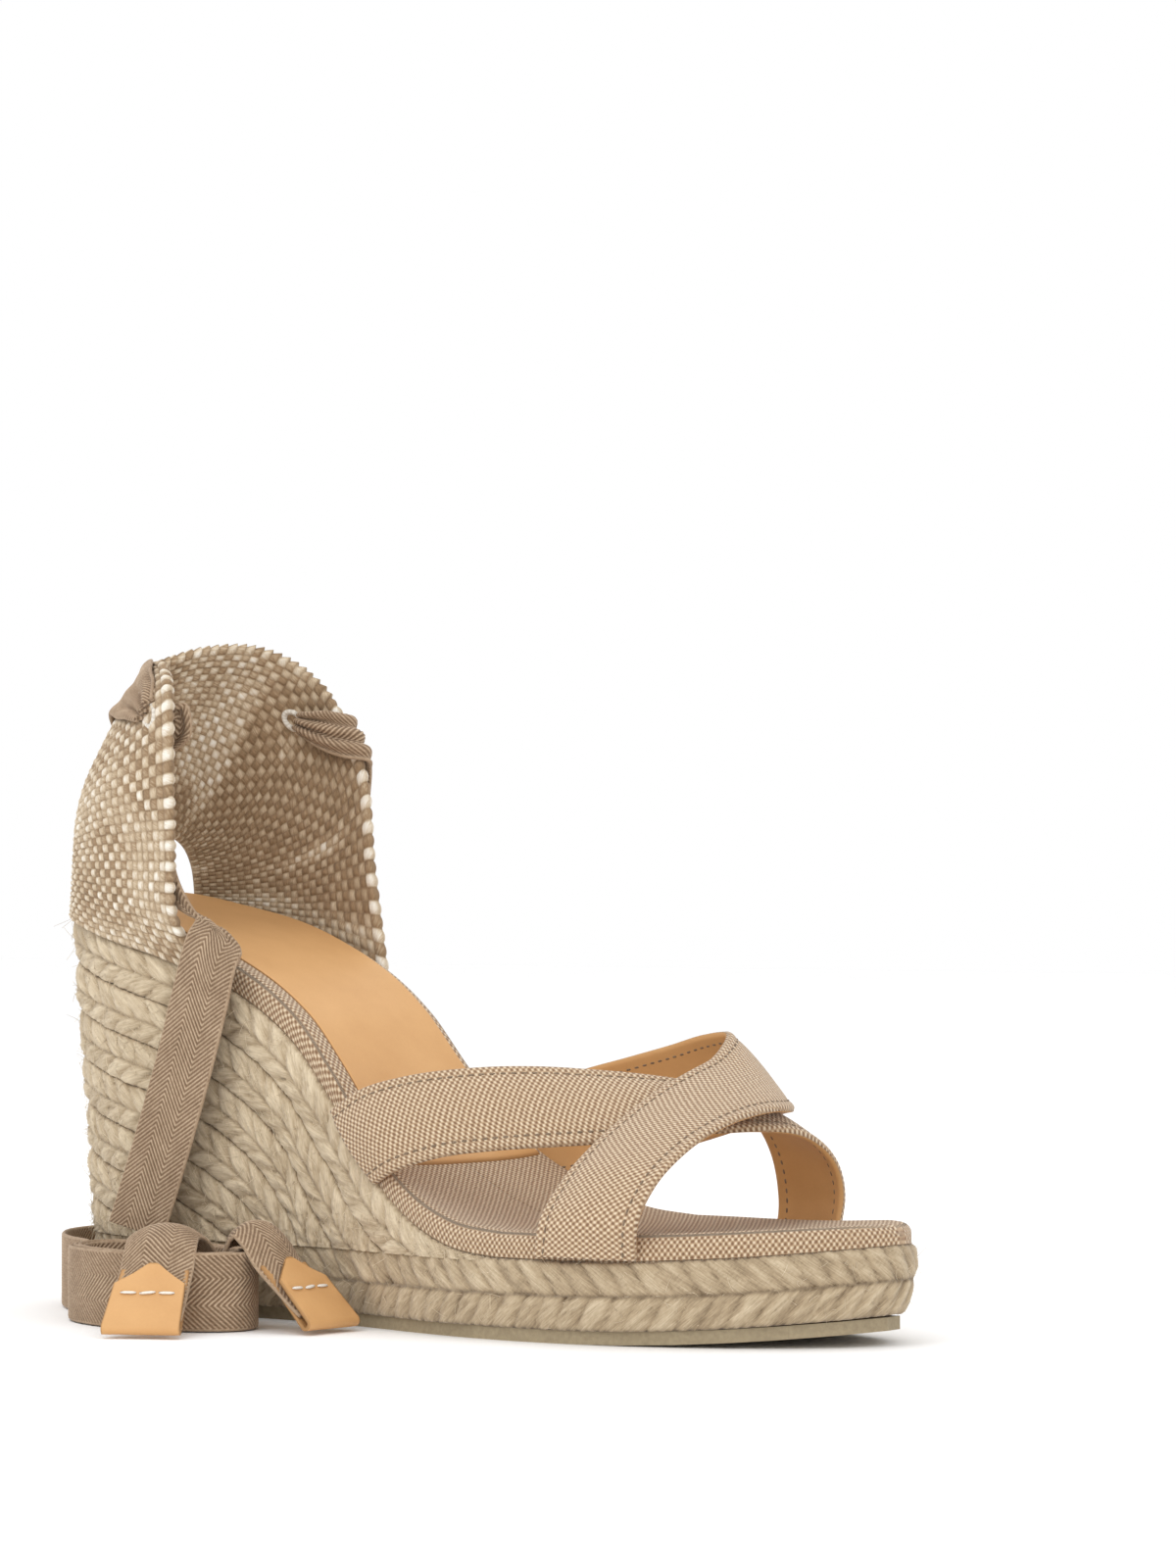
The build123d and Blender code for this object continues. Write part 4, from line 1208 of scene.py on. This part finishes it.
def eyelet(name, place, node):
    """Thread bound round a buttonhole: a thick oval ring whose turns are told apart only by painted shade.
    """
    centre, across, out = counter_frame(*place)
    along = np.cross(across, out)
    angle = np.linspace(0, 2 * math.pi, EYELET_TURNS, endpoint=False)[:, None, None]
    turn = np.linspace(0, 2 * math.pi, EYELET_SIDES, endpoint=False)[None, :, None]
    spoke = EYELET_HALF[0] * np.cos(angle) * along + EYELET_HALF[1] * np.sin(angle) * across
    thread = unit(spoke) * EYELET_THREAD[0] * np.cos(turn) + out * EYELET_THREAD[1] * np.sin(turn)
    verts = (centre + spoke + thread).reshape(-1, 3)
    faces = []
    for k, m in itertools.product(range(EYELET_TURNS), range(EYELET_SIDES)):
        here = k * EYELET_SIDES
        after = (k + 1) % EYELET_TURNS * EYELET_SIDES
        beyond = (m + 1) % EYELET_SIDES
        faces.append((here + m, here + beyond, after + beyond, after + m))
    # Painted shade that sets each turn of thread off from the next.
    tint = 0.5 + 0.3 * np.sin(np.arange(len(verts)) // EYELET_SIDES * 2.1)
    finish(new_mesh(name, verts, faces, tint, verts), THREAD, "sandal", [node])


# ---- build
surfaces = [jute_row(row) for row in range(1, WEDGE_ROWS + 1)]
surfaces.append(jute_platform())
hairs("jute_loose_fibres", surfaces)
footbed_cover()
leather_sock()
strap("lower_strap", LOWER_STRAP_REAR, LOWER_STRAP_FRONT)
strap("upper_strap", UPPER_STRAP_REAR, UPPER_STRAP_FRONT)
counter()
eyelet("outer_eyelet_thread", OUTER_EYELET, "outer_eyelet")
eyelet("inner_eyelet_thread", INNER_EYELET, "inner_eyelet")
heel_ribbon()

# The outer ribbon bends over the footbed's edge, from the sandal to the ankle tie.
outer_nodes = ["outer_inside_run", "outer_hanging_ribbon"]
tie = tape("outer_ribbon_tape", OUTER_RUN, None, outer_nodes)
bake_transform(tie)

tape("inner_ribbon_tape", INNER_RUN, "sandal", ["inner_side_fold"])
floor_line = standing(hermite(FLOOR_RUN, FLOOR_POINTS))
tape_mesh("floor_ribbon_tape", floor_line, "sandal", ["floor_ribbon_run"])
ribbon_roll()
for name, path in (("front", FRONT_TAIL), ("side", SIDE_TAIL)):
    tail(name, path, f"{name}_tail")
    leather_tip(name, path, f"{name}_tail")

for node, material in (("rubber_outsole", RUBBER), ("platform_coil", JUTE), ("wedge_core", JUTE)):
    piece = bpy.data.objects[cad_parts[node].name]
    piece.data.materials.clear()
    piece.data.materials.append(material)


# ---- stage
def add_camera():
    data = bpy.data.cameras.new("camera")
    data.lens = LENS
    data.sensor_width = SENSOR
    data.shift_x = SHIFT[0]
    data.shift_y = SHIFT[1]
    data.clip_end = 20
    camera = new_object("camera", data)
    camera.location = Vector(CAMERA) * MM
    camera.rotation_euler = (math.radians(90), 0, math.radians(CAMERA_TURN))
    bpy.context.scene.camera = camera


def add_floor():
    """Plain pale floor."""
    mesh = bpy.data.meshes.new("floor")
    corners = [(x * FLOOR_REACH, y * FLOOR_REACH, 0) for x, y in ((-1, -1), (1, -1), (1, 1), (-1, 1))]
    mesh.from_pydata(corners, [], [(0, 1, 2, 3)])
    material = bpy.data.materials.new("floor")
    material.use_nodes = True
    bsdf = material.node_tree.nodes["Principled BSDF"]
    bsdf.inputs["Base Color"].default_value = (1.0, 1.0, 1.0, 1)
    bsdf.inputs["Roughness"].default_value = 0.9
    bsdf.inputs["Specular IOR Level"].default_value = 0.1
    mesh.materials.append(material)
    new_object("floor", mesh)


def add_light(name, location, size, power, target):
    """Square light that faces the target."""
    data = bpy.data.lights.new(name, "AREA")
    data.size = size
    data.energy = power
    light = new_object(name, data)
    light.location = location
    light.rotation_euler = (target - Vector(location)).to_track_quat("-Z", "Y").to_euler()


def add_world():
    """Even white light from all round."""
    world = bpy.data.worlds.new("world")
    world.use_nodes = True
    background = world.node_tree.nodes["Background"]
    background.inputs["Color"].default_value = (1, 1, 1, 1)
    background.inputs["Strength"].default_value = 1.0
    bpy.context.scene.world = world
    bpy.context.scene.view_settings.view_transform = "Standard"


add_camera()
add_floor()
for light in LIGHTS:
    add_light(*light, (cad_low + cad_high) / 2)
add_world()
